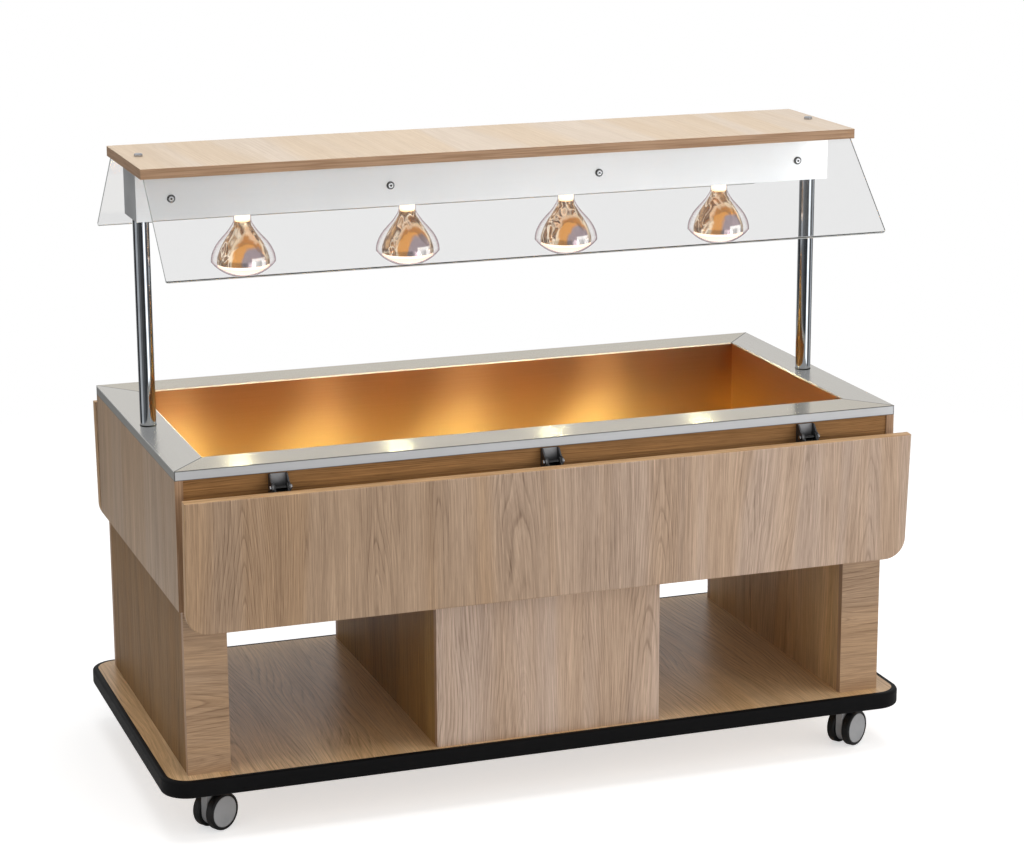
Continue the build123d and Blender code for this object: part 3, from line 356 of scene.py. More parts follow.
def brushed(
    name, along, colours, rough, spread, anisotropy=0.0, seed=0.0, metallic=1.0,
    mitre=None, lip=None, end_shade=None, low_glow=None,
):
    """Brushed sheet metal with fine lines along one axis.

    A mitre is a dark line from an outer to an inner corner. A lip gives the folds of a rim strip their own
    painted tones of light, shade and reflection; the end tones give the faces that look along X a darker tone
    as painted shade; and the lower tint paints the lower part brighter and yellower as a painted highlight of
    the lamp light, and makes it rougher.
    """
    shade = Shader(name)
    stretch = {axis: hair_along if axis == along else hair_across for axis in "XYZ"}
    place = shade.vector(*(shade.scaled(shade.axis[axis], stretch[axis], seed) for axis in "XYZ"))
    hair = shade.noise(place, detail=3.0, roughness=0.6)
    cloud = shade.noise(detail=3.0, scale=5.0)
    tone = shade.total(shade.scaled(hair, 0.9, -0.2), shade.scaled(cloud, 0.5, -0.1), clamp=True)
    face = shade.mix(tone, *colours)
    rough_map = shade.total(shade.scaled(hair, spread, rough - spread / 2), shade.scaled(cloud, 0.06, -0.03))
    # The faces that look along X take a darker tone: painted shade.
    if end_shade:
        face = shade.mix(shade.between(shade.normal_axis("X"), 0.7, 0.9), face, shade.mix(tone, *end_shade))
    if lip:
        face, metallic, upright = rim_lips(shade, lip, hair, face)
        rough_map = shade.total(rough_map, shade.scaled(upright, 0.2))
    if mitre:
        outer, inner = mitre
        run = (outer - inner).normalized()
        from_x = shade.scaled(shade.math("ABSOLUTE", shade.axis["X"]), run.y, -outer.x * run.y)
        from_y = shade.scaled(shade.math("ABSOLUTE", shade.axis["Y"]), -run.x, outer.y * run.x)
        away = shade.math("ABSOLUTE", shade.total(from_x, from_y))
        face = shade.mix(shade.between(away, mitre_from, mitre_to), grey(0.05), face)
    # The lower part turns brighter and yellower, a painted highlight of the lamp light, and rougher.
    if low_glow:
        height = shade.axis["Z"]
        face = shade.mix(shade.fade(height, low_glow["low"], low_glow["high"]), face, low_glow["tint"])
        rough_map = shade.total(rough_map, shade.fade(height, low_glow["low"], low_glow["high"], low_glow["rough"]))
    inputs = {
        "Base_Color": face,
        "Metallic": metallic,
        "Roughness": rough_map,
        "Normal": shade.bump(hair, strength=0.06, distance=0.0002),
    }
    if anisotropy:
        tangent = shade.node("ShaderNodeTangent", direction_type="RADIAL", axis=along)
        inputs["Tangent"] = tangent.outputs[0]
        inputs["Anisotropic"] = anisotropy
    shade.surface(**inputs)
    return shade.material


def polished(name, colour, dull, rough):
    """Plated or polished metal with faint smears."""
    shade = Shader(name)
    smear = shade.noise(detail=4.0, scale=24.0)
    speck = shade.noise(detail=2.0, scale=420.0)
    shade.surface(
        Base_Color=shade.mix(shade.between(smear, 0.35, 0.7), colour, dull),
        Metallic=1.0,
        Roughness=shade.total(shade.scaled(smear, 0.05, rough), shade.scaled(speck, 0.03)),
        Normal=shade.bump(speck, strength=0.02, distance=0.0001),
    )
    return shade.material


# The flap brackets stand in a row of three. A pin's head lies outside the width of its leg.
bracket_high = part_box("flap_brackets")[1]
leg_half_width = 0.018
bracket_pitch = bracket_high.x - leg_half_width


def pin_steel():
    """Bright pin heads on dark shanks."""
    shade = Shader("pin_steel")
    smear = shade.noise(detail=3.0, scale=300.0)
    from_middle = shade.math("ABSOLUTE", shade.axis["X"])
    from_side = shade.math("ABSOLUTE", shade.math("SUBTRACT", from_middle, bracket_pitch))
    head = shade.math("GREATER_THAN", shade.math("MINIMUM", from_middle, from_side), leg_half_width)
    shank_tone = shade.mix(smear, grey(0.05), grey(0.02))
    head_tone = shade.mix(smear, (0.46, 0.46, 0.48, 1), (0.30, 0.30, 0.31, 1))
    shade.surface(
        Base_Color=shade.mix(head, shank_tone, head_tone),
        Metallic=1.0,
        Roughness=shade.scaled(smear, 0.12, 0.12),
        Normal=shade.bump(smear, strength=0.05, distance=0.0001),
    )
    return shade.material


# Button heads on the lamp bar stand in rows of four.
screw_count = 4
screw_low, screw_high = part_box("lamp_bar_screws")
screw_radius = (screw_high.z - screw_low.z) / 2
screw_first = screw_low.x + screw_radius
screw_pitch = (screw_high.x - screw_low.x - 2 * screw_radius) / (screw_count - 1)


def screw_steel():
    """Button heads painted with a dark socket and a dark skirt as painted shade, a bright ring round the
    socket as a painted highlight, and a grey crown.
    """
    shade = Shader("bar_screw_steel")
    smear = shade.noise(detail=3.0, scale=300.0)
    x = shade.from_nearest(screw_first, screw_pitch)
    z = shade.math("SUBTRACT", shade.axis["Z"], screw_low.z + screw_radius)
    away = shade.scaled(shade.hypotenuse(x, z), 1 / screw_radius)
    # Out from the middle: dark socket, bright ring, grey crown, dark skirt. The dark parts are painted shade,
    # the bright ring a painted highlight.
    colour = shade.ramp(shade.total(away, shade.scaled(smear, 0.1, -0.05)), [
        (0.28, grey(0.05)),
        (0.34, (0.72, 0.72, 0.73, 1)),
        (0.56, (0.50, 0.50, 0.51, 1)),
        (0.70, grey(0.06)),
    ])
    shade.surface(
        Base_Color=colour,
        Metallic=1.0,
        Roughness=shade.scaled(smear, 0.2, 0.15),
        Normal=shade.bump(smear, strength=0.05, distance=0.0001),
    )
    return shade.material


# Plastics, rubber, paint and fired clay

def moulded(name, colour, worn, rough, grain_scale, relief=0.0002, specular=0.5):
    """A moulded or painted surface with fine texture and slight wear."""
    shade = Shader(name)
    grain = shade.noise(detail=3.0, scale=grain_scale)
    wear = shade.noise(detail=4.0, scale=16.0, roughness=0.65)
    share = shade.product(shade.between(wear, 0.45, 0.75), shade.between(grain, 0.35, 0.65, 0.4, 1.0))
    shade.surface(
        Base_Color=shade.mix(share, colour, worn),
        Roughness=shade.total(shade.scaled(grain, 0.14, rough - 0.07), shade.scaled(wear, 0.1, -0.05)),
        Normal=shade.bump(grain, strength=0.3, distance=relief),
        Specular_IOR_Level=specular,
    )
    return shade.material


black_paint, worn_paint, painted_light_grey = rgb(24, 24, 25), rgb(52, 52, 54), rgb(150, 150, 152)
# Where a leg turns lighter grey as painted light, measured down from its top.
light_start, light_full = 0.034, 0.002


def bracket_paint():
    """Black paint with slight wear, and a lighter grey patch high on the back of each leg that is painted
    light.
    """
    shade = Shader("bracket_paint")
    grain = shade.noise(detail=3.0, scale=900.0)
    wear = shade.noise(detail=4.0, scale=60.0, roughness=0.65)
    high = shade.between(shade.axis["Z"], bracket_high.z - light_start, bracket_high.z - light_full)
    back = shade.between(shade.normal_axis("Y"), 0.7, 0.9)
    # The lighter grey high on the back of each leg is painted light.
    painted_light = shade.product(high, back, shade.scaled(wear, 0.5, 0.75), clamp=True)
    colour = shade.mix(shade.between(wear, 0.45, 0.75), black_paint, worn_paint)
    shade.surface(
        Base_Color=shade.mix(painted_light, colour, painted_light_grey),
        Roughness=shade.scaled(grain, 0.14, 0.28),
        Normal=shade.bump(grain, strength=0.3, distance=0.0002),
    )
    return shade.material


def chipboard(name, light, dark):
    """Raw board core: pale chips pressed together."""
    shade = Shader(name)
    flake = shade.noise(detail=3.0, scale=120.0)
    share = shade.total(shade.scaled(shade.cells(260.0), 0.5), shade.scaled(flake, 0.6, -0.1), clamp=True)
    shade.surface(
        Base_Color=shade.mix(share, light, dark),
        Roughness=shade.scaled(flake, 0.2, 0.65),
        Normal=shade.bump(flake, strength=0.4, distance=0.0006),
    )
    return shade.material


def pilot_lens():
    """A glowing orange lens with small facets."""
    shade = Shader("pilot_lens")
    facet = shade.cells(420.0)
    tone = shade.mix(facet, rgb(214, 92, 22), rgb(250, 150, 50))
    shade.surface(
        Base_Color=tone,
        Roughness=shade.scaled(facet, 0.1, 0.12),
        Normal=shade.bump(facet, strength=0.4, distance=0.0006),
        Emission_Color=tone,
        Emission_Strength=0.6,
        Coat_Weight=0.5,
    )
    return shade.material


# Glass

def pane_glass(name, tint, ground, edge_z, edge_band):
    """Clear sheet glass. The ground lower edge and the ends are matt."""
    shade = Shader(name)
    haze = shade.noise(detail=3.0, scale=7.0)
    grit = shade.noise(detail=2.0, scale=900.0)
    face = shade.mix(shade.scaled(haze, 0.1), tint, (0.90, 0.91, 0.91, 1))
    low = shade.fade(shade.axis["Z"], edge_z + edge_band / 2, edge_z + edge_band)
    end = shade.between(shade.normal_axis("X"), 0.5, 0.9)
    matt = shade.math("MAXIMUM", low, end)
    matt_rough = shade.product(matt, shade.scaled(grit, 0.2, 0.4))
    glass = shade.surface(
        Base_Color=shade.mix(matt, face, ground),
        Roughness=shade.total(shade.scaled(haze, 0.02), matt_rough),
        Transmission_Weight=shade.scaled(matt, -1.0, 1.0),
        IOR=1.45,
    )
    shade.clear_in_shadow(glass, grey(0.97))
    return shade.material


# Shape helpers

def new_piece(name, mesh_maker, body, material, smooth=True):
    """A piece built in mesh code, riding on a body and finished with a material."""
    shape = bmesh.new()
    mesh_maker(shape)
    bmesh.ops.recalc_face_normals(shape, faces=shape.faces)
    mesh = bpy.data.meshes.new(name)
    shape.to_mesh(mesh)
    shape.free()
    for face in mesh.polygons:
        face.use_smooth = smooth
    piece = bpy.data.objects.new(name, mesh)
    scene.collection.objects.link(piece)
    mesh.materials.append(material)
    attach(piece, body)
    return piece


def lathe(shape, profile, origin, axis, steps=64):
    """Turns a profile of (radius, height) points about an axis through origin."""
    axis = Vector(axis).normalized()
    side = axis.orthogonal().normalized()
    other = axis.cross(side)
    origin = Vector(origin)
    loops = []
    for radius, height in profile:
        centre = origin + axis * height
        if radius == 0:
            loops.append([shape.verts.new(centre)])
            continue
        loop = []
        for step in range(steps):
            turn = 2 * math.pi * step / steps
            sideways = side * (radius * math.cos(turn))
            onwards = other * (radius * math.sin(turn))
            loop.append(shape.verts.new(centre + sideways + onwards))
        loops.append(loop)
    for first, second in zip(loops, loops[1:]):
        for step in range(steps):
            after = (step + 1) % steps
            corners = [first[step % len(first)], first[after % len(first)]]
            corners += [second[after % len(second)], second[step % len(second)]]
            corners = list(dict.fromkeys(corners))
            if len(corners) > 2:
                shape.faces.new(corners)


def plank(shape, centre, along, across, outward, size):
    """A small flat bar on a surface; size is its length, width and thickness."""
    centre, along, across, outward = Vector(centre), Vector(along), Vector(across), Vector(outward)
    length, width, thickness = size
    corners = []
    for rise in (0, thickness):
        for a, b in ((-0.5, -0.5), (0.5, -0.5), (0.5, 0.5), (-0.5, 0.5)):
            spot = centre + along * (a * length) + across * (b * width) + outward * rise
            corners.append(shape.verts.new(spot))
    for face in ((3, 2, 1, 0), (4, 5, 6, 7), (0, 1, 5, 4), (1, 2, 6, 5), (2, 3, 7, 6), (3, 0, 4, 7)):
        shape.faces.new([corners[index] for index in face])


def dress(material, *names):
    """Gives CAD nodes their material."""
    for name in names:
        for material_slot in nodes[name].material_slots:
            material_slot.material = material


# Wood finishes, each from a light to a dark tone. Several are lit and shaded copies of one oak,
# set to how the panels look under this light.

flap_tones = rgb(216, 190, 170), rgb(114, 88, 68)
# A darker, warmer cast towards the flap's left end: partly a tone of the laminate, partly painted shade for
# the light falling off away from the key light on the right.
flap_warm_shade = (0.82, 0.75, 0.62, 1)
body_tones = rgb(198, 170, 142), rgb(106, 80, 56)
# Painted shade: a darker, more golden copy for the centre side panels inside the bays.
shaded_golden_tones = rgb(188, 146, 86), rgb(78, 54, 24)
# Painted shade: a darker, more golden copy for the apron's long boards under the rim.
shaded_apron_tones = rgb(192, 144, 94), rgb(82, 55, 30)
# Painted shade: a darker, more golden copy for the pedestals' outer panels under the overhang.
shaded_outer_tones = rgb(164, 128, 86), rgb(68, 49, 30)
# Painted light: a lighter copy for the pedestals' inner panels, which lie in the shade of the bays.
lit_inner_tones = rgb(236, 196, 146), rgb(124, 94, 60)
cap_tones = rgb(198, 166, 134), rgb(102, 72, 46)
# Painted light: a lighter copy for the base board, which lies in the shade of the bays.
lit_base_tones = rgb(240, 204, 158), rgb(138, 102, 64)
# Painted light: a pale, low-contrast copy for the canopy top, standing in for strong light from above.
lit_canopy_tones = rgb(224, 207, 188), rgb(194, 174, 152)
band_tones = rgb(206, 168, 124), rgb(168, 128, 86)
brown_tones = rgb(180, 144, 112), rgb(152, 116, 84)

flap_oak = oak("oak_flap", "Z", "X", flowered, flap_tones, band_tones, seed=1.3, warm=flap_warm_shade)
dress(flap_oak, "front_flap_board", "rear_flap_board")
dress(oak("oak_centre_face", "Z", "X", flowered, flap_tones, brown_tones, seed=5.1), "centre_face_panels")
apron_oak = oak("oak_apron_end", "Z", "Y", straight, body_tones, brown_tones, seed=2.2)
dress(apron_oak, "apron_left_panel", "apron_right_panel")
for node, name, grain, tones, seed, gloss in (
    ("apron_long_boards", "oak_apron_long", "XZ", shaded_apron_tones, 7.4, 0.2),
    ("pedestal_outer_panels", "oak_outer", "ZY", shaded_outer_tones, 3.6, 0.05),
    ("pedestal_inner_panels", "oak_inner", "ZY", lit_inner_tones, 9.1, 0.15),
    ("centre_side_panels", "oak_centre_side", "ZY", shaded_golden_tones, 6.2, 0.1),
):
    dress(oak(name, *grain, straight, tones, brown_tones, seed, gloss=gloss), node)
dress(oak("oak_pedestal_cap", "X", "Z", crossed, cap_tones, brown_tones, seed=8.8), "pedestal_end_caps")
base_oak = oak("oak_base", "Y", "X", broad, lit_base_tones, brown_tones, seed=4.5, rough=0.24, gloss=0.4)
dress(base_oak, "base_board")
dress(oak("oak_canopy", "Y", "X", straight, lit_canopy_tones, brown_tones, seed=6.7), "canopy_board")
dress(chipboard("board_core", rgb(206, 180, 140), rgb(150, 118, 82)), "deck_board", "rim_core_boards")

# Metal finishes, each from a clean to a dull tone

# The steel's warm cast is partly its own tone and partly painted warm light from the lamps and the oak canopy
# on the rim top. The end strips' steel is a copy set to how they look under this light: painted light.
steel = (0.60, 0.55, 0.455, 1), (0.53, 0.485, 0.40, 1)
end_steel = (0.58, 0.555, 0.505, 1), (0.52, 0.495, 0.45, 1)
bar_steel = (0.87, 0.875, 0.88, 1), (0.80, 0.805, 0.81, 1)
# Painted shade: a darker copy of the bar steel for the lamp bar's end faces.
bar_end_shade = (0.56, 0.563, 0.567, 1), (0.50, 0.503, 0.507, 1)
long_copper = (0.37, 0.192, 0.094, 1), (0.30, 0.150, 0.069, 1)
# Painted light: the end walls' copper is a lighter copy of the long walls' copper.
end_copper = (0.42, 0.216, 0.105, 1), (0.34, 0.168, 0.077, 1)
floor_copper = (0.28, 0.145, 0.062, 1), (0.22, 0.112, 0.046, 1)

# Painted tones of the long strips' lips: a painted reflection on the outer lip, painted shade along its top
# bend, and a cream painted highlight on the inner lip.
long_lip = {
    "axis": "Y",
    "middle": rim_middle.y,
    "inner": rim_inner.y,
    "tones": ((0.58, 0.59, 0.605, 1), (0.51, 0.52, 0.535, 1)),
    "fold": painted_shade_tone,
    "inner_painted_tone": (0.86, 0.80, 0.70, 1),
    "metallic": 0.15,
    "shine": 0.0,
}
# Painted tones of the end strips' lips: a darker painted reflection on the outer lip, a painted highlight
# along its top bend and along the inner bend of the top, and painted shade on the inner lip.
end_lip = {
    "axis": "X",
    "middle": rim_middle.x,
    "inner": rim_inner.x,
    "tones": ((0.46, 0.45, 0.42, 1), (0.42, 0.41, 0.385, 1)),
    "fold": (0.90, 0.89, 0.86, 1),
    "inner_painted_tone": (0.36, 0.335, 0.295, 1),
    "metallic": 1.0,
    "shine": 0.8,
}
rim_style = {"rough": 0.17, "spread": 0.05, "anisotropy": 0.85, "mitre": (rim_outer, rim_inner)}
dress(brushed("rim_long", "X", steel, lip=long_lip, **rim_style), "rim_long_strips")
dress(brushed("rim_end", "Y", end_steel, seed=3.0, lip=end_lip, **rim_style), "rim_end_strips")
bar_style = {"rough": 0.36, "spread": 0.06, "anisotropy": 0.5, "metallic": 0.7}
dress(brushed("bar_steel", "X", bar_steel, seed=5.0, end_shade=bar_end_shade, **bar_style), "lamp_bar")

tank_low, tank_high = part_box("tank_long_sides")
# The copper walls' lower part gets a brighter, yellower tone, a painted highlight of the lamp light, and more
# roughness.
tank_low_glow = {"low": tank_low.z, "high": tank_high.z, "rough": 0.16, "tint": (0.62, 0.405, 0.145, 1)}
tank_style = {"rough": 0.31, "spread": 0.06, "anisotropy": 0.95, "low_glow": tank_low_glow}
floor_style = {"rough": 0.62, "spread": 0.10, "anisotropy": 0.4}
dress(brushed("copper_floor", "X", floor_copper, seed=1.5, **floor_style), "tank_floor")
dress(brushed("copper_long", "X", long_copper, seed=1.0, **tank_style), "tank_long_sides")
dress(brushed("copper_ends", "Y", end_copper, seed=2.0, **tank_style), "tank_end_sides")

dress(polished("chrome", (0.46, 0.48, 0.51, 1), (0.39, 0.41, 0.44, 1), rough=0.03), "canopy_posts")
cap_steel = polished("cap_screw_steel", (0.50, 0.50, 0.51, 1), (0.36, 0.36, 0.37, 1), rough=0.10)
dress(cap_steel, "canopy_cap_screws")
dress(screw_steel(), "lamp_bar_screws")
dress(pin_steel(), "flap_pins")
zinc = polished("zinc_steel", (0.62, 0.62, 0.60, 1), (0.44, 0.44, 0.42, 1), rough=0.24)
dress(zinc, "post_nuts", "caster_plates")
drain_brass = polished("drain_brass", (0.83, 0.62, 0.26, 1), (0.62, 0.44, 0.18, 1), rough=0.20)
dress(drain_brass, "drain_valve")
dress(brushed("drain_steel", "Z", steel, rough=0.28, spread=0.10, seed=8.0), "drain_pipe")
dress(brushed("plate_steel", "Y", steel, rough=0.32, spread=0.10, seed=9.0), "control_plate")
heater_sheath = polished("heater_sheath", (0.30, 0.27, 0.24, 1), (0.20, 0.17, 0.15, 1), rough=0.35)
dress(heater_sheath, "heating_elements")

# Plastic, rubber and paint finishes

black_steel = moulded("black_steel", black_paint, worn_paint, rough=0.36, grain_scale=900.0)
dress(black_steel, "front_flap_arms", "rear_flap_arms", "front_flap_stays", "rear_flap_stays")
dress(bracket_paint(), "flap_brackets")
bumper_style = {"rough": 0.55, "grain_scale": 700.0, "relief": 0.0003, "specular": 0.12}
dress(moulded("bumper_rubber", rgb(4, 4, 5), rgb(10, 10, 11), **bumper_style), "base_bumper")
black_plastic = moulded("black_plastic", rgb(20, 20, 21), rgb(40, 40, 42), rough=0.38, grain_scale=1100.0)
dress(black_plastic, "thermostat", "thermostat_knob", "cable_gland")
dress(black_plastic, "switch_bodies", "heat_rocker", "lamp_rocker")
lever_coating = moulded("lever_coating", rgb(150, 28, 24), rgb(104, 20, 18), rough=0.34, grain_scale=800.0)
dress(lever_coating, "drain_lever")
ceramic = moulded("ceramic", rgb(232, 228, 218), rgb(206, 200, 188), rough=0.30, grain_scale=300.0)
dress(ceramic, "lampholders")
dress(pilot_lens(), "pilot_lamp")

grey_plastic = moulded("grey_plastic", rgb(150, 151, 153), rgb(128, 129, 131), rough=0.44, grain_scale=900.0)
disc_plastic = moulded("disc_plastic", rgb(168, 169, 171), rgb(150, 151, 153), rough=0.40, grain_scale=1200.0)
tyre = moulded("black_tyre", rgb(10, 10, 11), rgb(22, 22, 23), rough=0.45, grain_scale=800.0, specular=0.3)
caster_corners = ("front_left", "front_right", "rear_left", "rear_right")
dress(grey_plastic, *(f"caster_hood_{corner}" for corner in caster_corners))
dress(tyre, *(f"caster_wheel_{corner}_{side}" for corner in caster_corners for side in "ab"))

# Glass panes

ground_glass = (0.58, 0.60, 0.59, 1)
ground_band = 0.003
for node, tint in (("front_glass", 0.81), ("rear_glass", 0.85)):
    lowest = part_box(node)[0].z
    dress(pane_glass("glass_" + node, grey(tint), ground_glass, lowest, ground_band), node)

# Heat lamps: a clear bulb round a copper mirror, with a glowing front lens and neck.
# Their profiles are (radius, height) points above the lowest point of the bulb.

lamp_count = 4
bulb_radius = 0.064
lamp_low, lamp_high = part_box("heat_lamps")
lamp_first = lamp_low.x + bulb_radius
lamp_pitch = (lamp_high.x - lamp_low.x - 2 * bulb_radius) / (lamp_count - 1)
lamp_places = [Vector((lamp_first + lamp_pitch * index, 0, lamp_low.z)) for index in range(lamp_count)]

face_height = 0.031
shoulder = Vector((0.0545, 0.062))
waist = Vector((0.026, 0.097))
neck_start = Vector((0.0175, 0.120))
neck_end = Vector((0.0175, 0.142))
glass_wall, mirror_wall = 0.0012, 0.0008
mirror_points = (0.0520, 0.027), (0.0490, 0.046), (0.0390, 0.068), (0.0225, 0.094), (0.0165, 0.111)
neck_points = (0, 0.110), (0.0140, 0.111), (0.0155, 0.117), (0.0150, 0.141), (0, 0.1415)
glow_radius, glow_gap = 0.052, 0.004
cap_radius, cap_top = 0.013, 0.166
contact_radius, contact_height = 0.006, 0.001
thread_count, thread_pitch, thread_depth = 5, 0.004, 0.001
lens_steps = 16
upward = Vector((0, 0.035))


def curve_through(points, first_tangent, last_tangent, steps=10):
    """Points along a smooth curve that passes through the given ones."""
    tangents = [first_tangent]
    tangents += [(after - before) / 2 for before, after in zip(points, points[2:])]
    tangents.append(last_tangent)
    curve = []
    for index in range(len(points) - 1):
        start, end = points[index], points[index + 1]
        for step in range(steps):
            share = step / steps
            square, cube = share ** 2, share ** 3
            curve.append(
                start * (2 * cube - 3 * square + 1) + tangents[index] * (cube - 2 * square + share)
                + end * (3 * square - 2 * cube) + tangents[index + 1] * (cube - square)
            )
    return curve + [points[-1]]


def inset(profile, depth):
    """The same profile moved inwards by a wall thickness."""
    moved = []
    for index, point in enumerate(profile):
        before, after = profile[max(index - 1, 0)], profile[min(index + 1, len(profile) - 1)]
        run = (after - before).normalized()
        moved.append(Vector((max(point.x - run.y * depth, 0), point.y + run.x * depth)))
    return moved


def at_lamps(profile):
    """Turns a profile at each lamp."""
    def build(shape):
        for place in lamp_places:
            lathe(shape, [tuple(point) for point in profile], place, (0, 0, 1), steps=72)
    return build


lens_radius = (bulb_radius ** 2 + face_height ** 2) / (2 * face_height)
lens_turn = math.asin(bulb_radius / lens_radius)
lens = []
for lens_step in range(lens_steps):
    turn = lens_turn * lens_step / lens_steps
    lens.append(Vector((lens_radius * math.sin(turn), lens_radius * (1 - math.cos(turn)))))
bulb_edge = Vector((bulb_radius, face_height))
bulb_outside = lens + curve_through([bulb_edge, shoulder, waist, neck_start], upward, upward) + [neck_end]
bulb_profile = bulb_outside + inset(bulb_outside, glass_wall)[::-1]
mirror_outside = curve_through([Vector(point) for point in mirror_points], upward, upward)
mirror_profile = mirror_outside + inset(mirror_outside, mirror_wall)[::-1]
glow_profile = [point + Vector((0, glow_gap)) for point in lens if point.x < glow_radius]
neck_profile = [Vector(point) for point in neck_points]
cap_profile = [Vector((0, neck_end.y)), Vector((cap_radius - thread_depth, neck_end.y))]
for thread in range(thread_count):
    crest = neck_end.y + thread_pitch / 2 + thread_pitch * thread
    cap_profile.append(Vector((cap_radius, crest)))
    cap_profile.append(Vector((cap_radius - thread_depth, crest + thread_pitch / 2)))
cap_profile += [Vector((contact_radius, cap_top - contact_height)), Vector((0, cap_top))]


def bulb_glass():
    """Thin clear glass, rosy where it is seen edge on."""
    shade = Shader("bulb_glass")
    haze = shade.noise(detail=2.0, scale=60.0)
    facing = shade.node("ShaderNodeLayerWeight", {"Blend": 0.5}).outputs["Facing"]
    rim = shade.between(shade.total(facing, shade.scaled(haze, 0.1, -0.05)), 0.55, 1.0)
    glass = shade.surface(
        Base_Color=shade.mix(rim, (1.0, 0.985, 0.98, 1), (0.62, 0.44, 0.47, 1)),
        Roughness=shade.scaled(haze, 0.02),
        Transmission_Weight=1.0,
        IOR=1.01,
        Coat_Weight=0.25,
        Coat_Roughness=0.02,
    )
    shade.clear_in_shadow(glass, (0.96, 0.92, 0.90, 1))
    return shade.material


def lamp_mirror():
    """A thin copper mirror with a painted reflection of its surroundings and a painted white glint of a
    softbox.
    It glows in these painted colours, partly as lamp light through the thin mirror and partly as painted
    light that keeps the painted reflection bright.
    """
    shade = Shader("lamp_mirror")
    height = shade.math("SUBTRACT", shade.axis["Z"], lamp_low.z)
    drawn = shade.vector(shade.axis["X"], shade.axis["Y"], shade.scaled(shade.axis["Z"], 0.55))
    swirl = shade.noise(drawn, detail=2.0, scale=34.0, distortion=1.2)
    side = shade.from_nearest(lamp_first, lamp_pitch)

    def dome(middle, half_width, rise):
        x = shade.scaled(shade.math("SUBTRACT", side, middle), 1 / half_width)
        y = shade.scaled(shade.math("SUBTRACT", height, mirror_outside[0].y), 1 / rise)
        return shade.total(shade.hypotenuse(x, y), shade.scaled(swirl, 0.5, -0.25))

    # Painted reflection: swirling gold with dark brown lines and cream streaks.
    gold = shade.ramp(swirl, [
        (0.30, (0.86, 0.66, 0.44, 1)),
        (0.40, (0.16, 0.07, 0.03, 1)),
        (0.46, (0.52, 0.28, 0.11, 1)),
        (0.52, (1.00, 0.88, 0.70, 1)),
        (0.57, (0.20, 0.09, 0.04, 1)),
        (0.70, (0.62, 0.38, 0.18, 1)),
    ])
    # Painted reflection: an orange arc round a lilac-grey zone.
    arc = dome(middle=0.002, half_width=0.037, rise=0.058)
    hollow = dome(middle=0.011, half_width=0.030, rise=0.044)
    # A painted highlight: the white glint of a softbox.
    glint_top = shade.fade(height, 0.042, 0.045)
    glint_left, glint_right = shade.between(side, 0.004, 0.006), shade.fade(side, 0.034, 0.036)
    softbox_glint = shade.product(glint_top, glint_left, glint_right)
    colour = shade.mix(shade.between(arc, 1.02, 1.08), (0.95, 0.76, 0.52, 1), gold)
    colour = shade.mix(shade.between(arc, 0.88, 1.00), (0.72, 0.32, 0.06, 1), colour)
    colour = shade.mix(shade.between(hollow, 0.78, 1.00), (0.34, 0.27, 0.29, 1), colour)
    colour = shade.mix(softbox_glint, colour, (1.0, 0.97, 0.95, 1))
    shade.surface(
        Base_Color=colour,
        Metallic=1.0,
        Roughness=shade.scaled(swirl, 0.08, 0.02),
        Normal=shade.bump(swirl, strength=0.3, distance=0.004),
        # Glows in the painted colours: painted light.
        Emission_Color=colour,
        Emission_Strength=0.5,
    )
    return shade.material


def lamp_glow(name, low_colour, high_colour, low, high, strength):
    """A glowing surface that goes from one colour to another between two heights in the lamp."""
    shade = Shader(name)
    height = shade.math("SUBTRACT", shade.axis["Z"], lamp_low.z)
    mottle = shade.noise(detail=2.0, scale=180.0)
    share = shade.total(shade.between(height, low, high), shade.scaled(mottle, 0.3, -0.15), clamp=True)
    colour = shade.mix(share, low_colour, high_colour)
    shade.surface(
        Base_Color=colour,
        Roughness=shade.scaled(mottle, 0.1, 0.3),
        Emission_Color=colour,
        Emission_Strength=strength,
    )
    return shade.material


lens_glow = lamp_glow(
    "lens_glow", (1.0, 0.95, 0.86, 1), (1.0, 0.76, 0.58, 1), low=0.008, high=0.027, strength=1.3
)
neck_glow = lamp_glow(
    "neck_glow", (1.0, 0.72, 0.40, 1), (1.0, 0.92, 0.76, 1), low=0.110, high=0.118, strength=1.5
)
bulbs = new_piece("lamp_bulbs", at_lamps(bulb_profile), "cabinet", bulb_glass())
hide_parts("heat_lamps")
new_piece("lamp_mirrors", at_lamps(mirror_profile), "cabinet", lamp_mirror())
new_piece("lamp_lenses", at_lamps(glow_profile), "cabinet", lens_glow)
new_piece("lamp_necks", at_lamps(neck_profile), "cabinet", neck_glow)
new_piece("lamp_caps", at_lamps(cap_profile), "cabinet", drain_brass)

# Print on the controls: a numbered dial round the knob, a pointer on it, on and off marks on the rockers

print_style = {"rough": 0.5, "grain_scale": 1500.0, "relief": 0.0001}
ink = moulded("dial_ink", rgb(26, 26, 27), rgb(46, 46, 48), **print_style)
paint = moulded("white_print", rgb(236, 236, 232), rgb(210, 210, 206), **print_style)
print_thickness = 0.00015
towards = Vector((1, 0, 0))
knob_low, knob_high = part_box("thermostat_knob")
plate_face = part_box("control_plate")[1].x
knob_centre = (knob_low + knob_high) / 2
knob_radius = (knob_high.z - knob_low.z) / 2
dial_numbers = 9
dial_step = math.radians(270) / dial_numbers
tick_radius = knob_radius + 0.0045
tick_size = (0.0040, 0.0009, print_thickness)
number_radius = knob_radius + 0.0110
number_size = 0.0065
pointer_place = knob_radius * 0.60
pointer_size = (knob_radius * 0.42, 0.0018, print_thickness)
on_mark_size = (0.0048, 0.0010, print_thickness)
off_mark_inner, off_mark_outer = 0.0017, 0.0026
ray_clearance = 0.01


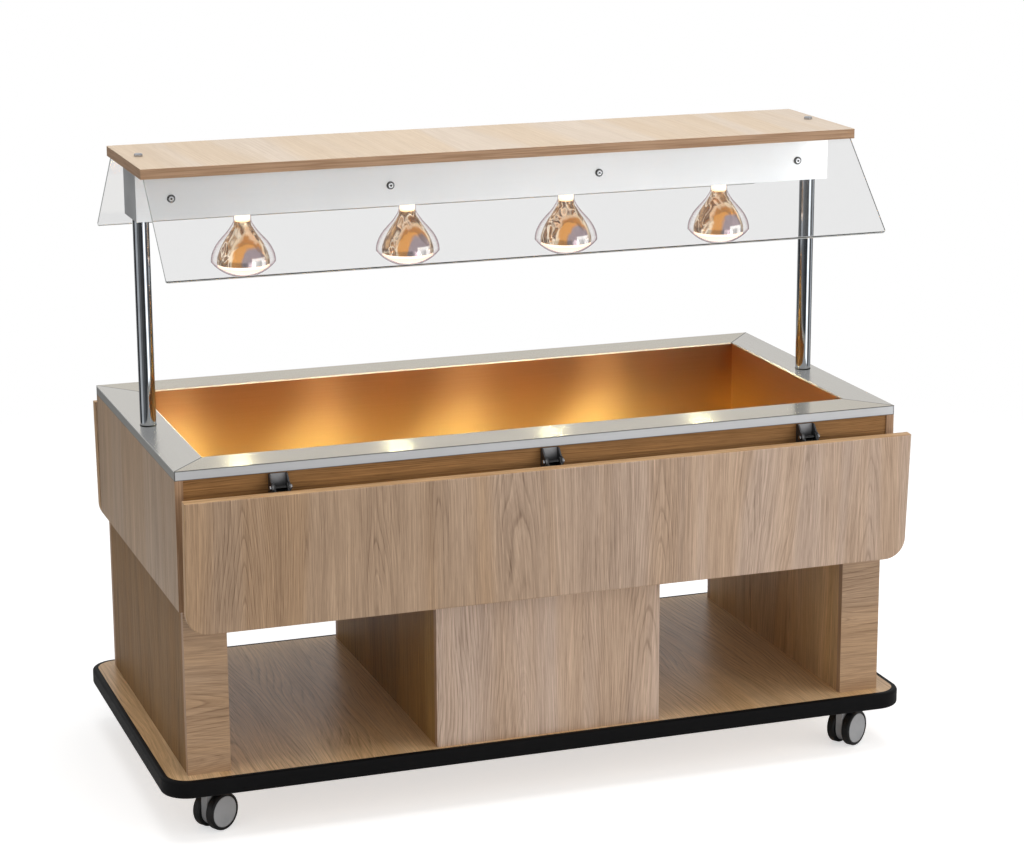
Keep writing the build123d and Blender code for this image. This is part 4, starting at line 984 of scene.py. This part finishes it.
def number_shape(shape, text, centre):
    """Adds a flat figure standing upright on the control plate."""
    curve = bpy.data.curves.new("figure", "FONT")
    curve.body = text
    curve.size = number_size
    curve.extrude = print_thickness / 2
    curve.align_x = "CENTER"
    curve.align_y = "CENTER"
    drawn = bpy.data.objects.new("figure", curve)
    mesh = bpy.data.meshes.new_from_object(drawn)
    stand_up = Matrix(((0, 0, 1), (1, 0, 0), (0, 1, 0))).to_4x4()
    mesh.transform(Matrix.Translation(centre) @ stand_up)
    shape.from_mesh(mesh)
    bpy.data.objects.remove(drawn)
    bpy.data.curves.remove(curve)
    bpy.data.meshes.remove(mesh)


def build_dial(shape):
    """Ticks and figures round the knob, on the control plate."""
    centre = Vector((plate_face, knob_centre.y, knob_centre.z))
    for number in range(dial_numbers + 1):
        turn = dial_step * number
        outward = Vector((0, math.sin(turn), math.cos(turn)))
        sideways = Vector((0, math.cos(turn), -math.sin(turn)))
        plank(shape, centre + outward * tick_radius, outward, sideways, towards, tick_size)
        number_shape(shape, str(number), centre + outward * number_radius + towards * (print_thickness / 2))


def build_pointer(shape):
    """A white line on the knob's face."""
    spot = Vector((knob_high.x, knob_centre.y, knob_centre.z + pointer_place))
    plank(shape, spot, (0, 0, 1), (0, 1, 0), towards, pointer_size)


def build_rocker_marks(node):
    """A line on a rocker's upper half and a ring on its lower half, laid on its sloping faces."""
    mesh = nodes[node].data
    points = [vertex.co for vertex in mesh.vertices]
    tree = BVHTree.FromPolygons(points, [tuple(face.vertices) for face in mesh.polygons])
    low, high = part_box(node)
    middle = (low + high) / 2
    reach = (high.z - low.z) / 4
    ring = [(off_mark_inner, 0), (off_mark_outer, 0)]
    ring += [(off_mark_outer, print_thickness), (off_mark_inner, print_thickness), (off_mark_inner, 0)]

    def build(shape):
        for direction in (1, -1):
            start = Vector((high.x + ray_clearance, middle.y, middle.z + direction * reach))
            spot, outward, *_ = tree.ray_cast(start, -towards)
            along = Vector((0, 1, 0)).cross(outward)
            if direction > 0:
                plank(shape, spot, along, (0, 1, 0), outward, on_mark_size)
            else:
                lathe(shape, ring, spot, outward, steps=32)
    return build


new_piece("dial_marks", build_dial, "cabinet", ink, smooth=False)
new_piece("knob_pointer", build_pointer, "thermostat_knob", paint, smooth=False)
for rocker in ("heat_rocker", "lamp_rocker"):
    new_piece(rocker + "_marks", build_rocker_marks(rocker), rocker, paint, smooth=False)

# A thin black ring round the foot of each post, a dark line where the post meets the rim: how far it stands
# out from the post, and at what height

post_low, post_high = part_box("canopy_posts")
post_radius = (post_high.y - post_low.y) / 2
ring_section = (0, 0), (0.0005, 0.0002), (0.0007, 0.0008), (0.0005, 0.0014), (0, 0.0016), (0, 0)
ring_profile = [(post_radius + proud, height) for proud, height in ring_section]


def build_post_rings(shape):
    """A ring on the rim round each of the two posts."""
    for place_x in (post_low.x + post_radius, post_high.x - post_radius):
        lathe(shape, ring_profile, (place_x, 0, rim_top), (0, 0, 1))


new_piece("post_foot_rings", build_post_rings, "cabinet", tyre)

# Grey cover discs in the wheels, as (radius, height) points from the wheel's outer face

disc_profile = [
    (0, -0.0009), (0.0240, -0.0010), (0.0285, -0.0006), (0.0302, -0.0005), (0.0310, -0.0009),
    (0.0278, -0.0038), (0, -0.0038),
]
wheel_face = 0.0265


def build_disc(joint):
    """A cover disc on the outer side of the wheel that turns on a joint."""
    outward = Vector(joint["axis"]) * (1 if joint["name"].endswith("_a") else -1)
    centre = Vector(joint["pos_m"]) + outward * wheel_face

    def build(shape):
        lathe(shape, disc_profile, centre, outward)
    return build


for joint in frame["joints"]:
    if joint["name"].startswith("roll_"):
        wheel = joint["child"]
        new_piece(wheel + "_disc", build_disc(joint), wheel, disc_plastic)

# Camera, matched to the photograph

camera_place = Vector((-1.80557, -5.31254, 2.09924))
camera_yaw = math.radians(19.264878)
camera_pitch = math.radians(14.341392)
camera_roll = math.radians(-0.261113)
camera_lens = 98.80
sensor_width = 36.0

forward = Vector((
    math.sin(camera_yaw) * math.cos(camera_pitch),
    math.cos(camera_yaw) * math.cos(camera_pitch),
    -math.sin(camera_pitch),
))
level_right = Vector((math.cos(camera_yaw), -math.sin(camera_yaw), 0))
level_up = level_right.cross(forward)
right = level_right * math.cos(camera_roll) + level_up * math.sin(camera_roll)
up = level_up * math.cos(camera_roll) - level_right * math.sin(camera_roll)
camera_data = bpy.data.cameras.new("camera")
camera_data.lens = camera_lens
camera_data.sensor_width = sensor_width
camera_data.sensor_fit = "HORIZONTAL"
camera = bpy.data.objects.new("camera", camera_data)
camera.matrix_world = Matrix((right, up, -forward)).transposed().to_4x4()
camera.location = camera_place
scene.collection.objects.link(camera)
scene.camera = camera

# Floor

floor_reach = 4.0
floor_clear_from, floor_clear_to = 1.3, 3.2
floor_lift = 0.55


def floor_finish():
    """A pale floor that looks white to the camera, keeps a shadow and fades into the white surroundings."""
    shade = Shader("floor")
    outward = shade.node("ShaderNodeVectorMath", {0: shade.place}, operation="LENGTH").outputs["Value"]
    mottle = shade.noise(detail=2.0, scale=2.0)
    path = shade.node("ShaderNodeLightPath")
    matt = shade.surface(
        Base_Color=shade.mix(mottle, grey(0.88), grey(0.92)),
        Roughness=0.9,
        Specular_IOR_Level=0.1,
        Emission_Color=white,
        Emission_Strength=shade.scaled(path.outputs["Is Camera Ray"], floor_lift),
    )
    gone = shade.node("ShaderNodeBsdfTransparent")
    shade.show(shade.mix_shaders(shade.between(outward, floor_clear_from, floor_clear_to), matt, gone))
    return shade.material


floor_corners = [(x * floor_reach, y * floor_reach, 0) for x, y in ((-1, -1), (1, -1), (1, 1), (-1, 1))]
floor_mesh = bpy.data.meshes.new("floor")
floor_mesh.from_pydata(floor_corners, [], [(0, 1, 2, 3)])
floor = bpy.data.objects.new("floor", floor_mesh)
floor_mesh.materials.append(floor_finish())
scene.collection.objects.link(floor)

# Soft studio light that leaves no bright shapes in metal or glass

def softbox(name, place, target, width, height, power):
    """A rectangular light aimed at a point."""
    data = bpy.data.lights.new(name, "AREA")
    data.shape = "RECTANGLE"
    data.size = width
    data.size_y = height
    data.energy = power
    light = bpy.data.objects.new(name, data)
    light.location = place
    light.rotation_euler = (Vector(target) - Vector(place)).to_track_quat("-Z", "Y").to_euler()
    light.visible_glossy = False
    light.visible_transmission = False
    scene.collection.objects.link(light)


trolley_middle, trolley_low = (0, 0, 0.7), (0, 0, 0.4)
softbox("key_right", (3.4, -2.6, 1.9), trolley_middle, width=2.4, height=2.6, power=40)
softbox("top", (0, -0.4, 3.6), trolley_middle, width=3.2, height=2.4, power=58)
softbox("front_low", (1.2, -4.6, 1.0), trolley_low, width=3.0, height=1.0, power=36)
softbox("fill_left", (-3.6, -2.0, 1.6), trolley_middle, width=2.0, height=2.0, power=10)

# Each heat lamp throws a wide glow and a narrower beam from just under its bulb

lamp_light_size = 0.05
lamp_light_drop = Vector((0, 0, 0.003))
lamp_light_colour = (1.0, 0.97, 0.66)
for beam, power, spread_degrees in (("glow", 1.3, 180), ("beam", 2.3, 92)):
    for index, place in enumerate(lamp_places):
        lamp_data = bpy.data.lights.new(f"lamp_{beam}_{index}", "AREA")
        lamp_data.shape = "DISK"
        lamp_data.size = lamp_light_size
        lamp_data.energy = power
        lamp_data.spread = math.radians(spread_degrees)
        lamp_data.color = lamp_light_colour
        lamp_light = bpy.data.objects.new(f"lamp_{beam}_{index}", lamp_data)
        lamp_light.location = place - lamp_light_drop
        lamp_light.visible_camera = False
        scene.collection.objects.link(lamp_light)

# Surroundings: white when seen directly or through glass, light and dark bands in reflections, soft grey
# as light on other surfaces

seen_strength, mirrored_strength, ambient_strength = 1.0, 3.1, 0.36
overhead_grey = grey(0.275)
horizon_from, horizon_to = -0.02, 0.20
# How bright the bands are, by their place round the trolley, and their faint blue tint.
band_stops = (
    (0.00, 0.24), (0.043, 0.24), (0.052, 0.07), (0.11, 0.07), (0.14, 0.03), (0.20, 0.03), (0.23, 0.005),
    (0.27, 0.06), (0.302, 1.00), (0.338, 1.00), (0.356, 0.60), (0.37, 0.10), (0.43, 0.02), (0.45, 0.02),
    (0.458, 0.24), (0.542, 0.24), (0.55, 0.02), (0.66, 0.035), (0.70, 0.14), (0.78, 0.09), (0.82, 0.03),
    (0.845, 0.14), (0.87, 0.01), (0.948, 0.01), (0.957, 0.24), (1.00, 0.24),
)
band_red, band_green = 0.97, 0.99
band_colours = [(place, (level * band_red, level * band_green, level, 1)) for place, level in band_stops]

world = bpy.data.worlds.new("studio")
scene.world = world
sky = Nodes(world, "ShaderNodeOutputWorld")
direction = sky.coordinates.outputs["Generated"]
around = sky.node("ShaderNodeTexGradient", {0: direction}, gradient_type="RADIAL")
horizon = {"Value": sky.split(direction)["Z"], "From Min": horizon_from, "From Max": horizon_to}
overhead = sky.node("ShaderNodeMapRange", horizon)
reflected = sky.mix(overhead.outputs[0], sky.ramp(around.outputs[0], band_colours), overhead_grey)
mirrored = sky.node("ShaderNodeBackground", {"Color": reflected, "Strength": mirrored_strength})
ambient = sky.node("ShaderNodeBackground", {"Color": white, "Strength": ambient_strength})
seen = sky.node("ShaderNodeBackground", {"Color": white, "Strength": seen_strength})
light_path = sky.node("ShaderNodeLightPath")
bounced = sky.math("GREATER_THAN", light_path.outputs["Diffuse Depth"], 0.5)
turned = sky.math("GREATER_THAN", light_path.outputs["Glossy Depth"], 0.5)
sky.show(sky.mix_shaders(bounced, sky.mix_shaders(turned, seen, mirrored), ambient))

scene.view_settings.view_transform = "Standard"
